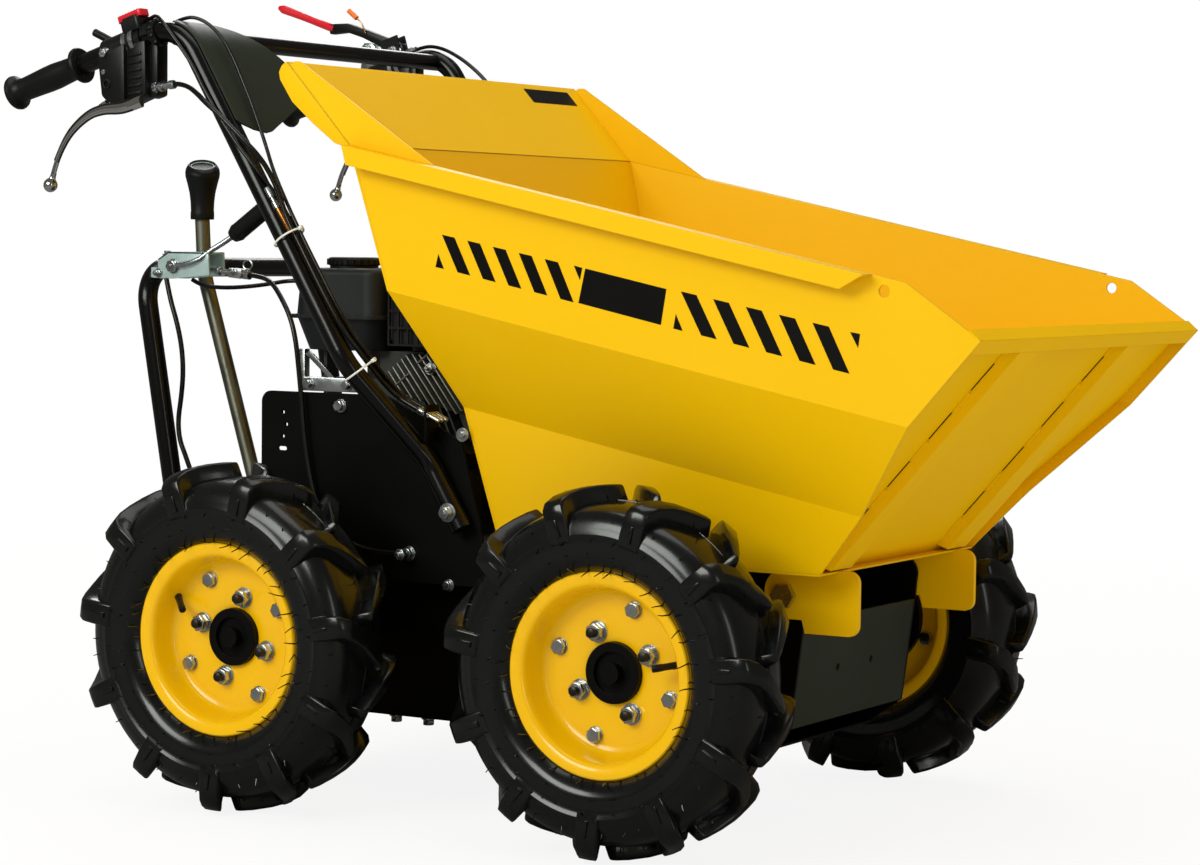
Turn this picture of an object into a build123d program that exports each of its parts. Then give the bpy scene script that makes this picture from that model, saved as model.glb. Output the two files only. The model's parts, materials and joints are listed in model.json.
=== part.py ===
"""Walk-behind four-wheel site dumper: tipping skip, sheet-metal frame, petrol engine, handlebar.

Frame: +X forward (the tipping lip), +Y to the operator's left, +Z up, z = 0 on the ground,
x = 0 midway between the tipping lip and the clutch lever. All lengths are in millimetres.
"""
import os
from math import cos, hypot, pi, radians, sin, tan

from build123d import *

os.makedirs("parts", exist_ok=True)

# ---------------------------------------------------------------- driving dimensions
wheelbase = 532
track = 664                     # between the mid-planes of the tyres
axle_middle = -8                # x midway between the axles
running_gap = 0.05              # radial clearance of a shaft in its bore
seat_gap = 0.3                  # clearance of pieces that seat on each other
move_gap = 5                    # clearance of moving pieces

# wheel
tyre_radius = 210
tyre_width = 116
carcass_radius = 193
lug_count = 11                  # on each side of the tread
lug_foot_radius = 154
rim_flange_radius = 115.5
rim_barrel_radius = 98
rim_width = 82                  # over the flanges
rim_flange = 8
rim_sheet = 4
disc_sheet = 5
hub_spigot_radius = 34.5
hub_flange_radius = 65
hub_flange_thickness = 10
hub_barrel_radius = 30
stub_radius = 15
stub_length = 50
hub_inner = 45                  # inner end of the hub's barrel, from the tyre's mid-plane

# frame
frame_half_width = 149          # outer faces of the long side plates
frame_sheet = 4
frame_rear = -415
frame_bottom = 104
frame_top = 311
nose_low = (381, 133)           # x and z of the front plate's lower edge
nose_high = (397, 258)          # and of its upper edge
cover_sheet = 3
cover_front = 340
axle_tube_radius = 30
side_plate_half_width = 202     # outer faces of the plates beside the engine
side_plate_rear = -337
side_plate_top = 500
side_plate_foot = 275
side_plate_corner_x = -150      # where the top edge starts down to the skip
side_plate_nose = 450           # height where it meets the front edge
deck_sheet = 5

# skip
pivot_x = 378
pivot_z = 289
pivot_radius = 10
pivot_plate_sheet = 6
wall = 3                        # sheet of the skip
floor_bottom = 318
rim_flange_out = 20
rim_flange_drop = 22
lip_x = 687
lip_z = 590
rim_front_x = 600
splash_top_x = -212
splash_top_z = 897
recess = 14                     # front panel behind its side flanges
rib_width = 62

# handlebar
handle_radius = 12.5
handle_half_width = 285
handle_rake = 0.617             # run over rise of the raked legs
handle_bolt_x = -40
handle_bolt_z = 365
grip_slope = 0.307
handle_bend = (-401, 950)       # where leg and grip lines meet
handle_bend_radius = 55
grip_end_x = -668
grip_length = 118
grip_radius = 15.5
crossbar_radius = 11

# rear hoop
hoop_radius = 12.5
hoop_half_width = 185
hoop_top = (-541, 650)
hoop_foot = (-478, 300)
hoop_front_x = -290


def save(piece, name):
    """Label a finished piece and write it as one STEP file."""
    piece.part.label = name
    export_step(piece.part, f"parts/{name}.step")


def mirrored(piece):
    """The same piece on the machine's left side."""
    with BuildPart() as twin:
        mirror(piece.part, about=Plane.XZ)
    return twin


axle_height = tyre_radius
half_track = track / 2
front_axle_x = axle_middle + wheelbase / 2
rear_axle_x = axle_middle - wheelbase / 2
pivot_plate_y = frame_half_width + move_gap + pivot_plate_sheet / 2      # middle of the plate

# ---------------------------------------------------------------- wheels
# Tyre sections as (offset from the mid-plane, radius) on one side.
half_tyre = tyre_width / 2
rim_inside = rim_width / 2 - rim_flange
carcass_section = [
    (rim_inside - seat_gap, rim_barrel_radius + seat_gap),
    (rim_inside - seat_gap, rim_flange_radius + 2),
    (half_tyre - 6, lug_foot_radius - 22),
    (half_tyre - 2, lug_foot_radius),
    (half_tyre - 4, carcass_radius - 16),
    (half_tyre - 14, carcass_radius - 5),
    (half_tyre - 30, carcass_radius),
]
tread_section = [
    (half_tyre - 2, lug_foot_radius - 4),
    (half_tyre, lug_foot_radius + 10),
    (half_tyre, tyre_radius - 19),
    (half_tyre - 4, tyre_radius - 11),
    (half_tyre - 15, tyre_radius - 5),
    (half_tyre - 30, tyre_radius),
]
# One bar in plan as (offset from the mid-plane, lead around the tread): the foot lies across
# the shoulder and the bar runs ahead of it to end just past the crown.
lug_plan = [(half_tyre + 4, 13), (46, 13), (30, 26), (12, 42), (-6, 57),
            (-12, 45), (8, 22), (28, 3), (46, -12), (half_tyre + 4, -12)]
rim_section = [
    (rim_width / 2 - 3, rim_barrel_radius - rim_sheet),
    (rim_width / 2, rim_flange_radius - 6),
    (rim_width / 2 - 3, rim_flange_radius),
    (rim_inside, rim_flange_radius - 2),
    (rim_inside, rim_barrel_radius),
]


def both_sides(section):
    """Closed outline, as (radius, offset), of a section that is the same on both sides."""
    return [(r, -y) for y, r in section] + [(r, y) for y, r in reversed(section)]


wheel_plane = Plane(origin=(0, 0, 0), x_dir=(1, 0, 0), z_dir=(0, 0, 1))   # x is the radius here
lug_pitch = 360 / lug_count
with BuildPart() as tyre:
    # bars from the crown to the shoulder and down the side, outer and inner ones by turns
    for side, first in ((1, 0), (-1, lug_pitch / 2)):
        for k in range(lug_count):
            turn = first + k * lug_pitch
            radial = Vector(sin(radians(turn)), 0, cos(radians(turn)))
            lug_plane = Plane(origin=radial * (lug_foot_radius - 6), x_dir=(0, -1, 0), z_dir=radial)
            with BuildSketch(lug_plane):
                with BuildLine():
                    Polyline(*[(side * offset_y, lead) for offset_y, lead in lug_plan], close=True)
                make_face()
            extrude(amount=tyre_radius - lug_foot_radius + 20)
    with BuildSketch(wheel_plane):
        with BuildLine():
            Polyline(*both_sides(tread_section), close=True)
        make_face()
    revolve(axis=Axis.Y, mode=Mode.INTERSECT)
    with BuildSketch(wheel_plane):
        with BuildLine():
            Polyline(*both_sides(carcass_section), close=True)
        make_face()
    revolve(axis=Axis.Y)

with BuildPart() as rim:
    with BuildSketch(wheel_plane):
        with BuildLine():
            Polyline(*both_sides(rim_section), close=True)
        make_face()
        with Locations(((hub_spigot_radius + seat_gap + rim_barrel_radius - rim_sheet) / 2, 0)):
            Rectangle(rim_barrel_radius - rim_sheet - hub_spigot_radius - seat_gap, disc_sheet)
    revolve(axis=Axis.Y)

# The hub turns with the wheel. Here the wheel is the right one: outside is -Y.
hub_gap = half_track - disc_sheet / 2 - hub_flange_thickness
with BuildPart() as hub:
    with BuildSketch(wheel_plane):
        with BuildLine():
            Polyline(
                (0, -16), (12, -16), (12, -4), (24, -4), (24, -9), (hub_spigot_radius, -9),
                (hub_spigot_radius, disc_sheet / 2), (hub_flange_radius, disc_sheet / 2),
                (hub_flange_radius, disc_sheet / 2 + hub_flange_thickness),
                (hub_barrel_radius, disc_sheet / 2 + hub_flange_thickness),
                (hub_barrel_radius, hub_inner), (stub_radius, hub_inner),
                (stub_radius, hub_inner + stub_length), (0, hub_inner + stub_length),
                close=True)
        make_face()
    revolve(axis=Axis.Y)

# corner name, axle x, side (-1 right, +1 left), turn of the wheel in degrees
corners = [
    ("front_right", front_axle_x, -1, 17.3),
    ("rear_right", rear_axle_x, -1, 15.4),
    ("front_left", front_axle_x, 1, 17.3),
    ("rear_left", rear_axle_x, 1, 15.4),
]
for corner, axle_x, side, turn in corners:
    for piece, name in ((tyre, "tyre"), (rim, "rim"), (hub, "hub")):
        with BuildPart() as placed:
            right = piece.part.rotate(Axis.Y, turn)
            if side > 0:
                right = right.mirror(Plane.XZ)
            with Locations((axle_x, side * half_track, axle_height)):
                add(right)
        save(placed, f"{name}_{corner}")

# ---------------------------------------------------------------- frame
boss_radius = floor_bottom - pivot_z - move_gap - 2
with BuildPart() as frame_side:
    with BuildSketch(Plane.XZ.offset(frame_half_width - frame_sheet)):
        with BuildLine():
            Polyline((frame_rear, frame_bottom), (frame_rear, frame_top), (pivot_x - 30, frame_top),
                     (pivot_x, pivot_z + boss_radius), (pivot_x + boss_radius, pivot_z),
                     nose_high, nose_low, (cover_front, frame_bottom), close=True)
        make_face()
        with Locations((pivot_x, pivot_z)):
            Circle(boss_radius)
        with Locations((rear_axle_x, axle_height), (front_axle_x, axle_height)):
            Circle(axle_tube_radius + seat_gap, mode=Mode.SUBTRACT)
    extrude(amount=frame_sheet)
with BuildPart() as frame_sides:
    add(frame_side.part)
    mirror(frame_side.part, about=Plane.XZ)
save(frame_sides, "frame_sides")

inner_half = frame_half_width - frame_sheet
hole_z, hole_half_width, hole_radius = 195, 44, 4.5
with BuildPart() as front_plate:
    with BuildSketch(Plane.XZ.offset(-inner_half)):
        with BuildLine():
            Polyline((nose_high[0] - frame_sheet, nose_high[1]), nose_high, nose_low,
                     (nose_low[0] - frame_sheet, nose_low[1]), close=True)
        make_face()
    extrude(amount=2 * inner_half)
    plate_rake = (nose_high[0] - nose_low[0]) / (nose_high[1] - nose_low[1])
    plate_x = nose_low[0] - frame_sheet / 2 + plate_rake * (hole_z - nose_low[1])
    plate_middle = Plane(origin=(plate_x, 0, hole_z), x_dir=(0, 1, 0), z_dir=(1, 0, -plate_rake))
    with Locations(plate_middle):
        with Locations((-hole_half_width, 0), (hole_half_width, 0)):
            Hole(hole_radius)
save(front_plate, "front_plate")

with BuildPart() as bottom_cover:
    with BuildSketch(Plane.XY.offset(frame_bottom - cover_sheet)):
        with Locations(((frame_rear + cover_front) / 2, 0)):
            Rectangle(cover_front - frame_rear, 2 * frame_half_width)
    extrude(amount=cover_sheet)
save(bottom_cover, "bottom_cover")

with BuildPart() as rear_plate:
    with BuildSketch(Plane.YZ.offset(frame_rear)):
        with Locations((0, (frame_bottom + frame_top) / 2)):
            Rectangle(2 * inner_half, frame_top - frame_bottom)
    extrude(amount=frame_sheet)
save(rear_plate, "rear_plate")

deck_front = -15
with BuildPart() as engine_deck:
    with BuildSketch(Plane.XY.offset(frame_top)):
        with Locations(((side_plate_rear + deck_front) / 2, 0)):
            Rectangle(deck_front - side_plate_rear, 2 * (side_plate_half_width - frame_sheet))
        with Locations(((frame_rear + deck_front) / 2, 0)):
            Rectangle(deck_front - frame_rear, 2 * frame_half_width)
    extrude(amount=deck_sheet)
save(engine_deck, "engine_deck")


def skip_rear_x(z):
    """Outer face of the skip's rear wall at height z."""
    return 11 - 0.273 * (z - floor_bottom)


plate_gap = 14
with BuildPart() as side_plate:
    with BuildSketch(Plane.XZ.offset(side_plate_half_width - frame_sheet)):
        with BuildLine():
            Polyline((side_plate_rear, side_plate_foot), (side_plate_rear, side_plate_top),
                     (side_plate_corner_x, side_plate_top),
                     (skip_rear_x(side_plate_nose) - plate_gap, side_plate_nose),
                     (skip_rear_x(floor_bottom) - plate_gap, floor_bottom),
                     (skip_rear_x(floor_bottom) - plate_gap, side_plate_foot), close=True)
        make_face()
    extrude(amount=frame_sheet)
    fillet(side_plate.edges().filter_by(Axis.Y).group_by(Axis.Z)[-1], radius=14)
    # punched marks in the rear upper corner
    with BuildSketch(Plane.XZ.offset(side_plate_half_width)):
        with Locations((side_plate_rear + 33, side_plate_top - 26),
                       (side_plate_rear + 38, side_plate_top - 41),
                       (side_plate_rear + 33, side_plate_top - 56)):
            Circle(2.5)
        with Locations((side_plate_rear + 32, side_plate_top - 71)):
            SlotOverall(14, 5)
    extrude(amount=-frame_sheet, mode=Mode.SUBTRACT)
with BuildPart() as side_plates:
    add(side_plate.part)
    mirror(side_plate.part, about=Plane.XZ)
save(side_plates, "side_plates")

diff_radius = 62
# Axles: a beam through both frame sides with a bored end for each hub's stub.
axle_end = half_track - hub_inner - move_gap
for name, axle_x in (("axle_front", front_axle_x), ("axle_rear", rear_axle_x)):
    with BuildPart() as axle:
        with BuildSketch(Plane.XZ.offset(-axle_end)):
            with Locations((axle_x, axle_height)):
                Circle(axle_tube_radius)
        extrude(amount=2 * axle_end)
        with BuildSketch(Plane.XZ.offset(-70)):
            with Locations((axle_x, axle_height)):
                Circle(diff_radius)
        extrude(amount=140)
        for side in (-1, 1):
            with BuildSketch(Plane.XZ.offset(-side * axle_end)):
                with Locations((axle_x, axle_height)):
                    Circle(stub_radius + running_gap)
            extrude(amount=side * (stub_length + move_gap), mode=Mode.SUBTRACT)
    save(axle, name)

with BuildPart() as gearbox:
    with Locations((axle_middle, 0, axle_height)):
        Box(wheelbase - 2 * (diff_radius + seat_gap), 150, 120)
save(gearbox, "gearbox")

# ---------------------------------------------------------------- skip
# Folds of the skip's side as straight lines at both ends of their run.
# name: height at x = 0, its change per mm of x, half width at x = 0, its change per mm of x
folds = {
    "rim": (773.4, -0.2074, 322, 0),
    "upper": (614.5, -0.1954, 309.2, 0.0162),
    "lower": (483.7, -0.183, 203.7, 0.0573),
    "bottom": (floor_bottom, 0, 187.6, 0.0415),
}
front_base_x = 444
front_slope = (lip_x - front_base_x) / (lip_z - floor_bottom)
rear_slope = -0.273
station_rear, station_front = -180, 780
floor_top = floor_bottom + wall


def fold(name, x):
    """(half width, height) of a fold at x."""
    z0, z_change, y0, y_change = folds[name]
    return (y0 + y_change * x, z0 + z_change * x)


def station(x):
    """Upright section plane of the skip: sketch x is the machine's y."""
    return Plane(origin=(x, 0, 0), x_dir=(0, 1, 0), z_dir=(1, 0, 0))


def front_frame(setback):
    """Plane along the inclined front, facing forward, set back from its foremost edges."""
    normal = Vector(1, 0, -front_slope).normalized()
    return Plane(origin=Vector(front_base_x, 0, floor_bottom) - normal * setback,
                 x_dir=(0, 1, 0), z_dir=normal)


def rear_frame(setback):
    """Plane along the rear wall, facing rearward, set inward from its outer face."""
    normal = Vector(-1, 0, rear_slope).normalized()
    return Plane(origin=Vector(skip_rear_x(floor_bottom), 0, floor_bottom) - normal * setback,
                 x_dir=(0, 1, 0), z_dir=normal)


def skip_core():
    """The space inside the outer faces of the sides and floor, far past both ends."""
    with BuildPart() as core:
        for x in (station_rear, station_front):
            half = [fold(name, x) for name in folds]
            with BuildSketch(station(x)):
                with BuildLine():
                    Polyline(*[(-y, z) for y, z in half], *[(y, z) for y, z in reversed(half)],
                             close=True)
                make_face()
        loft(ruled=True)
    return core.part


lip_cut = Plane(origin=(rim_front_x, 0, fold("rim", rim_front_x)[1]), x_dir=(0, 1, 0),
                z_dir=Vector(fold("rim", rim_front_x)[1] - lip_z, 0, lip_x - rim_front_x))

rim_hole_x, rim_hole_radius, rim_hole_drop = 575, 6.5, 14.5
with BuildPart() as skip_side_right:
    for x in (station_rear, station_front):
        with BuildSketch(station(x)):
            with BuildLine():
                Polyline(*[(-y, z) for y, z in (fold(name, x) for name in folds)])
                offset(amount=wall, side=Side.LEFT, kind=Kind.INTERSECTION)
            make_face()
    loft(ruled=True)
    split(bisect_by=Plane.XY.offset(floor_top), keep=Keep.TOP)
    split(bisect_by=lip_cut, keep=Keep.BOTTOM)
    split(bisect_by=front_frame(0), keep=Keep.BOTTOM)
    split(bisect_by=rear_frame(wall), keep=Keep.BOTTOM)

    # lashing hole behind the lip's corner
    with BuildSketch(Plane.XZ.offset(folds["rim"][2])):
        with Locations((rim_hole_x, fold("rim", rim_hole_x)[1] - rim_hole_drop)):
            Circle(rim_hole_radius)
    extrude(amount=40, both=True, mode=Mode.SUBTRACT)

flange_end = Plane(origin=(562, 0, 658), x_dir=(0, 1, 0), z_dir=(1, 0, -1.8))
with BuildPart() as rim_flange_right:
    # out and down along the whole rim, cut at an angle in front
    for x in (station_rear, station_front):
        rim_y, rim_z = fold("rim", x)
        flange_y = rim_y + rim_flange_out
        with BuildSketch(station(x)):
            with BuildLine():
                Polyline((-rim_y + wall / 2, rim_z), (-flange_y, rim_z),
                         (-flange_y, rim_z - rim_flange_drop),
                         (-flange_y + wall, rim_z - rim_flange_drop),
                         (-flange_y + wall, rim_z - wall), (-rim_y + wall / 2, rim_z - wall),
                         close=True)
            make_face()
    loft(ruled=True)
    split(bisect_by=flange_end, keep=Keep.BOTTOM)
    split(bisect_by=rear_frame(wall), keep=Keep.BOTTOM)
with BuildPart() as side_with_flange:
    add(skip_side_right.part)
    add(rim_flange_right.part)
save(side_with_flange, "skip_side_right")
save(mirrored(side_with_flange), "skip_side_left")
both_skip_sides = (skip_side_right.part, mirrored(skip_side_right).part)

with BuildPart() as skip_rear_wall:
    add(skip_core())
    split(bisect_by=rear_frame(0), keep=Keep.BOTTOM)
    split(bisect_by=rear_frame(wall), keep=Keep.TOP)
save(skip_rear_wall, "skip_rear_wall")

with BuildPart() as skip_floor:
    add(skip_core())
    split(bisect_by=Plane.XY.offset(floor_top), keep=Keep.BOTTOM)
    split(bisect_by=rear_frame(wall), keep=Keep.BOTTOM)
    split(bisect_by=front_frame(0), keep=Keep.BOTTOM)
save(skip_floor, "skip_floor")

incline = hypot(lip_x - front_base_x, lip_z - floor_bottom)      # length of the front
lip_drop = 21
with BuildPart() as skip_front:
    add(skip_core())
    split(bisect_by=front_frame(recess), keep=Keep.BOTTOM)
    split(bisect_by=front_frame(recess + wall), keep=Keep.TOP)
    # folded lip: a channel along the tipping edge
    with BuildSketch(front_frame(0)):
        with Locations((0, incline - lip_drop / 2)):
            Rectangle(2 * folds["rim"][2], lip_drop)
    extrude(amount=-wall)
    with BuildSketch(front_frame(0)):
        with Locations((0, incline - wall / 2)):
            Rectangle(2 * folds["rim"][2], wall)
    extrude(amount=-recess - wall)
    # two tapered hat ribs above the pivot plates
    with BuildSketch(front_frame(recess)):
        with Locations((-pivot_plate_y, incline / 2), (pivot_plate_y, incline / 2)):
            Rectangle(rib_width, incline - 2)
    extrude(amount=recess - 1, taper=20)
    add(skip_core(), mode=Mode.INTERSECT)
    for side_part in both_skip_sides:
        add(side_part, mode=Mode.SUBTRACT)
    top = front_frame(0).origin + front_frame(0).y_dir * incline
    split(bisect_by=Plane(origin=top, x_dir=(0, 1, 0), z_dir=front_frame(0).y_dir), keep=Keep.BOTTOM)
    split(bisect_by=Plane.XY.offset(floor_top), keep=Keep.TOP)
save(skip_front, "skip_front")

# Splash guard: a panel leaning rearward over the rear wall, with a triangular gusset at each end.
guard_foot_x = skip_rear_x(fold("rim", -122)[1])
guard_foot_z = fold("rim", guard_foot_x)[1]
guard_lean = (splash_top_x - guard_foot_x) / (splash_top_z - guard_foot_z)
guard_half = folds["rim"][2]
with BuildPart() as splash_guard:
    with BuildSketch(Plane.XZ.offset(-guard_half)):
        with BuildLine():
            Polyline((guard_foot_x, guard_foot_z), (splash_top_x, splash_top_z),
                     (splash_top_x + wall * 1.27, splash_top_z), (guard_foot_x + wall * 1.27, guard_foot_z),
                     close=True)
        make_face()
    extrude(amount=2 * guard_half)
    for side in (-1, 1):
        with BuildSketch(Plane.XZ.offset(-side * guard_half)) as gusset:
            with BuildLine():
                Polyline((guard_foot_x, guard_foot_z), (splash_top_x, splash_top_z),
                         (splash_top_x + 20, splash_top_z), (0, fold("rim", 0)[1]), close=True)
            make_face()
            fillet(gusset.vertices().sort_by(Axis.Y)[-2:], radius=6)
        extrude(amount=side * wall)
    add(side_with_flange.part, mode=Mode.SUBTRACT)
    add(mirrored(side_with_flange).part, mode=Mode.SUBTRACT)
    add(skip_rear_wall.part, mode=Mode.SUBTRACT)
save(splash_guard, "splash_guard")

pivot_front_x = pivot_x + 93.6
with BuildPart() as pivot_plate:
    with BuildSketch(Plane.XZ.offset(pivot_plate_y - pivot_plate_sheet / 2)) as pivot_sketch:
        with BuildLine():
            Polyline((pivot_x - 26, floor_bottom), (pivot_x - 26, pivot_z - 27),
                     (pivot_x + 22, pivot_z - 27), (pivot_x + 26, pivot_z - 42),
                     (pivot_front_x, pivot_z - 42), (pivot_front_x, floor_bottom + 3),
                     (front_base_x + 3 * front_slope, floor_bottom + 3),
                     (front_base_x, floor_bottom), close=True)
        make_face()
        fillet(pivot_sketch.vertices().sort_by(Axis.X)[:2].sort_by(Axis.Z)[0], radius=24)
        fillet(pivot_sketch.vertices().sort_by(Axis.X)[-2:], radius=13)
        with Locations((pivot_x, pivot_z)):
            Circle(pivot_radius, mode=Mode.SUBTRACT)
    extrude(amount=pivot_plate_sheet)
with BuildPart() as pivot_plates:
    add(pivot_plate.part)
    mirror(pivot_plate.part, about=Plane.XZ)
save(pivot_plates, "pivot_plates")

pin_head = 8
with BuildPart() as pivot_pin:
    with BuildSketch(Plane.XZ.offset(frame_half_width)):
        with Locations((pivot_x, pivot_z)):
            Circle(pivot_radius - running_gap)
    extrude(amount=pivot_plate_y + pivot_plate_sheet / 2 - frame_half_width + 0.5)
    with BuildSketch(Plane.XZ.offset(pivot_plate_y + pivot_plate_sheet / 2 + 0.5)):
        with Locations((pivot_x, pivot_z)):
            RegularPolygon(15, 6)
    extrude(amount=pin_head)
with BuildPart() as pivot_pins:
    add(pivot_pin.part)
    mirror(pivot_pin.part, about=Plane.XZ)
save(pivot_pins, "pivot_pins")

rest_x = 50
with BuildPart() as rest_beam:
    with Locations((rest_x, 0, frame_top - 15)):
        Box(40, 2 * inner_half, 30)
save(rest_beam, "rest_beam")
with BuildPart() as skip_rests:
    with BuildSketch(Plane.XY.offset(frame_top)):
        with Locations((rest_x, -110), (rest_x, 110)):
            Circle(19)
    extrude(amount=floor_bottom - seat_gap - frame_top)
save(skip_rests, "skip_rests")

# ---------------------------------------------------------------- engine
# One cylinder: the crankshaft lies across the machine and the finned cylinder leans forward.
# The tank is above the crankcase, the exhaust box and the air cleaner are in front of it.
deck_top = frame_top + deck_sheet
crank_x, case_top = -265, 475
case_length, case_width = 150, 150
neck_rear, neck_front = -258, -190           # the block that carries tank and exhaust box
tank_x, tank_foot, tank_seam, tank_top = -302, 548, 591, 652
tank_length, tank_width = 140, 200
stay_rear, stay_sheet, stay_foot, stay_seat = -346, 5, 498, 512
cylinder_tilt = radians(25)                  # above level, toward the front
cylinder_base = Plane(origin=(crank_x, 0, 425), x_dir=(0, 1, 0),
                      z_dir=(cos(cylinder_tilt), 0, sin(cylinder_tilt)))
barrel_width, head_width, head_at, head_length = 84, 108, 132, 24
fin_count, fin_first, fin_pitch, fin_sheet, fin_width = 8, 55, 9.5, 2.6, 124

with BuildPart() as engine:
    with Locations((crank_x, 0, (deck_top + case_top) / 2)):
        Box(case_length, case_width, case_top - deck_top)
    fillet(engine.edges().filter_by(Axis.Y).group_by(Axis.Z)[-1], radius=30)
    with Locations(((neck_rear + neck_front) / 2, 0, (case_top + tank_foot) / 2 - 10)):
        Box(neck_front - neck_rear, 120, tank_foot - case_top + 20)
    # stays from the crankcase to the rear of the tank
    with BuildSketch(Plane.XZ.offset(36)):
        with BuildLine():
            Polyline((neck_rear, stay_foot), (stay_rear, stay_foot), (stay_rear, tank_foot),
                     (stay_rear + stay_sheet, tank_foot), (stay_rear + stay_sheet, stay_seat),
                     (neck_rear, stay_seat), close=True)
        make_face()
    extrude(amount=24)
    mirror(about=Plane.XZ)
    with BuildSketch(cylinder_base.offset(40)):
        RectangleRounded(barrel_width, barrel_width, 20)
    extrude(amount=head_at - 40)
    for k in range(fin_count):
        with BuildSketch(cylinder_base.offset(fin_first + k * fin_pitch)):
            RectangleRounded(fin_width, fin_width, 14)
        extrude(amount=fin_sheet)
    with BuildSketch(cylinder_base.offset(head_at)):
        RectangleRounded(head_width, head_width, 16)
    extrude(amount=head_length)
    # spark plug
    with BuildSketch(cylinder_base.offset(head_at + head_length)):
        with Locations((-26, 18)):
            Circle(8)
    extrude(amount=22)
save(engine, "engine")

with BuildPart() as fuel_tank:
    for low, high, spread_low, spread_high in ((tank_foot, tank_seam, -24, 0),
                                               (tank_seam, tank_top, 0, -8)):
        with BuildSketch(Plane.XY.offset(low)):
            with Locations((tank_x, 0)):
                RectangleRounded(tank_length + spread_low, tank_width + spread_low, 25)
        with BuildSketch(Plane.XY.offset(high)):
            with Locations((tank_x, 0)):
                RectangleRounded(tank_length + spread_high, tank_width + spread_high, 25)
        loft()
    fillet(fuel_tank.edges().group_by(Axis.Z)[-1], radius=9)
    with BuildSketch(Plane.XY.offset(tank_seam - 3)):
        with Locations((tank_x, 0)):
            RectangleRounded(tank_length + 14, tank_width + 14, 30)
    extrude(amount=5)
save(fuel_tank, "fuel_tank")
cap_radius, cap_height = 34, 14
with BuildPart() as fuel_cap:
    with BuildSketch(Plane.XY.offset(tank_top)):
        with Locations((tank_x - 8, -45)):
            Circle(cap_radius)
    extrude(amount=cap_height)
    chamfer(fuel_cap.edges().group_by(Axis.Z)[-1], length=3)
save(fuel_cap, "fuel_cap")

# Exhaust box on the right with a wire guard, air cleaner and starter cover on the left.
box_rear, box_front, box_foot, box_top = -222, -118, 556, 644
exhaust_right, exhaust_left = -88, 6
with BuildPart() as exhaust_box:
    with Locations(((box_rear + box_front) / 2, (exhaust_right + exhaust_left) / 2,
                    (box_foot + box_top) / 2)):
        Box(box_front - box_rear, exhaust_left - exhaust_right, box_top - box_foot)
    fillet(exhaust_box.edges().filter_by(Axis.Y), radius=12)
    with BuildSketch(Plane.XY.offset(tank_foot + seat_gap)):
        with Locations((neck_front - 15, -30)):
            Rectangle(20, 40)
    extrude(amount=box_foot - tank_foot)
save(exhaust_box, "exhaust_box")

wire, guard_gap = 2.6, 6
guard_columns, guard_rows = 8, 5
guard_y = exhaust_right - guard_gap
with BuildPart() as exhaust_guard:
    with Locations(((box_rear + box_front) / 2, guard_y, (box_foot + box_top) / 2)):
        with GridLocations((box_front - box_rear - wire) / (guard_columns - 1), 0, guard_columns, 1):
            Box(wire, wire, box_top - box_foot)
    for k in range(guard_rows):
        with Locations(((box_rear + box_front) / 2, guard_y,
                        box_foot + wire / 2 + k * (box_top - box_foot - wire) / (guard_rows - 1))):
            Box(box_front - box_rear, wire, wire)
    # spacers to the exhaust box
    for x in (box_rear + 25, box_front - 25):
        with BuildSketch(Plane.XZ.offset(-exhaust_right + seat_gap)):
            with Locations((x, (box_foot + box_top) / 2)):
                Circle(5)
        extrude(amount=guard_gap - seat_gap)
save(exhaust_guard, "exhaust_guard")

with BuildPart() as engine_covers:
    with Locations(((box_rear + box_front) / 2, 58, (box_foot + box_top) / 2)):
        Box(box_front - box_rear, 88, box_top - box_foot)
    fillet(engine_covers.edges(), radius=12)
    with BuildSketch(Plane.XY.offset(tank_foot + seat_gap)):
        with Locations((neck_front - 15, 36)):
            Rectangle(20, 30)
    extrude(amount=box_foot - tank_foot + 5)
    with BuildSketch(Plane.XZ.offset(-case_width / 2 - seat_gap)):
        with Locations((crank_x, 412)):
            Circle(68)
    extrude(amount=-32, taper=12)
save(engine_covers, "engine_covers")

# ---------------------------------------------------------------- handlebar
leg_half_width = side_plate_half_width + handle_radius + seat_gap


def leg_x(z):
    """Axis of the raked legs at height z."""
    return handle_bolt_x - handle_rake * (z - handle_bolt_z)


bend_x, bend_z = handle_bend


def grip_z(x):
    """Axis of the grips at x."""
    return bend_z + grip_slope * (x - bend_x)


with BuildPart() as handlebar:
    for side in (-1, 1):
        with BuildLine():
            leg_path = FilletPolyline(
                (leg_x(345), side * leg_half_width, 345),
                (leg_x(425), side * leg_half_width, 425),
                (leg_x(540), side * handle_half_width, 540),
                (bend_x, side * handle_half_width, bend_z),
                (grip_end_x + 2, side * handle_half_width, grip_z(grip_end_x + 2)),
                radius=(70, 70, handle_bend_radius))
        with BuildSketch(Plane(origin=leg_path @ 0, z_dir=leg_path % 0)):
            Circle(handle_radius)
        sweep(path=leg_path)
    crossbar_at = (-407, 934)
    with BuildSketch(Plane.XZ.offset(-handle_half_width)):
        with Locations(crossbar_at):
            Circle(crossbar_radius)
    extrude(amount=2 * handle_half_width)
save(handlebar, "handlebar")

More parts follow.
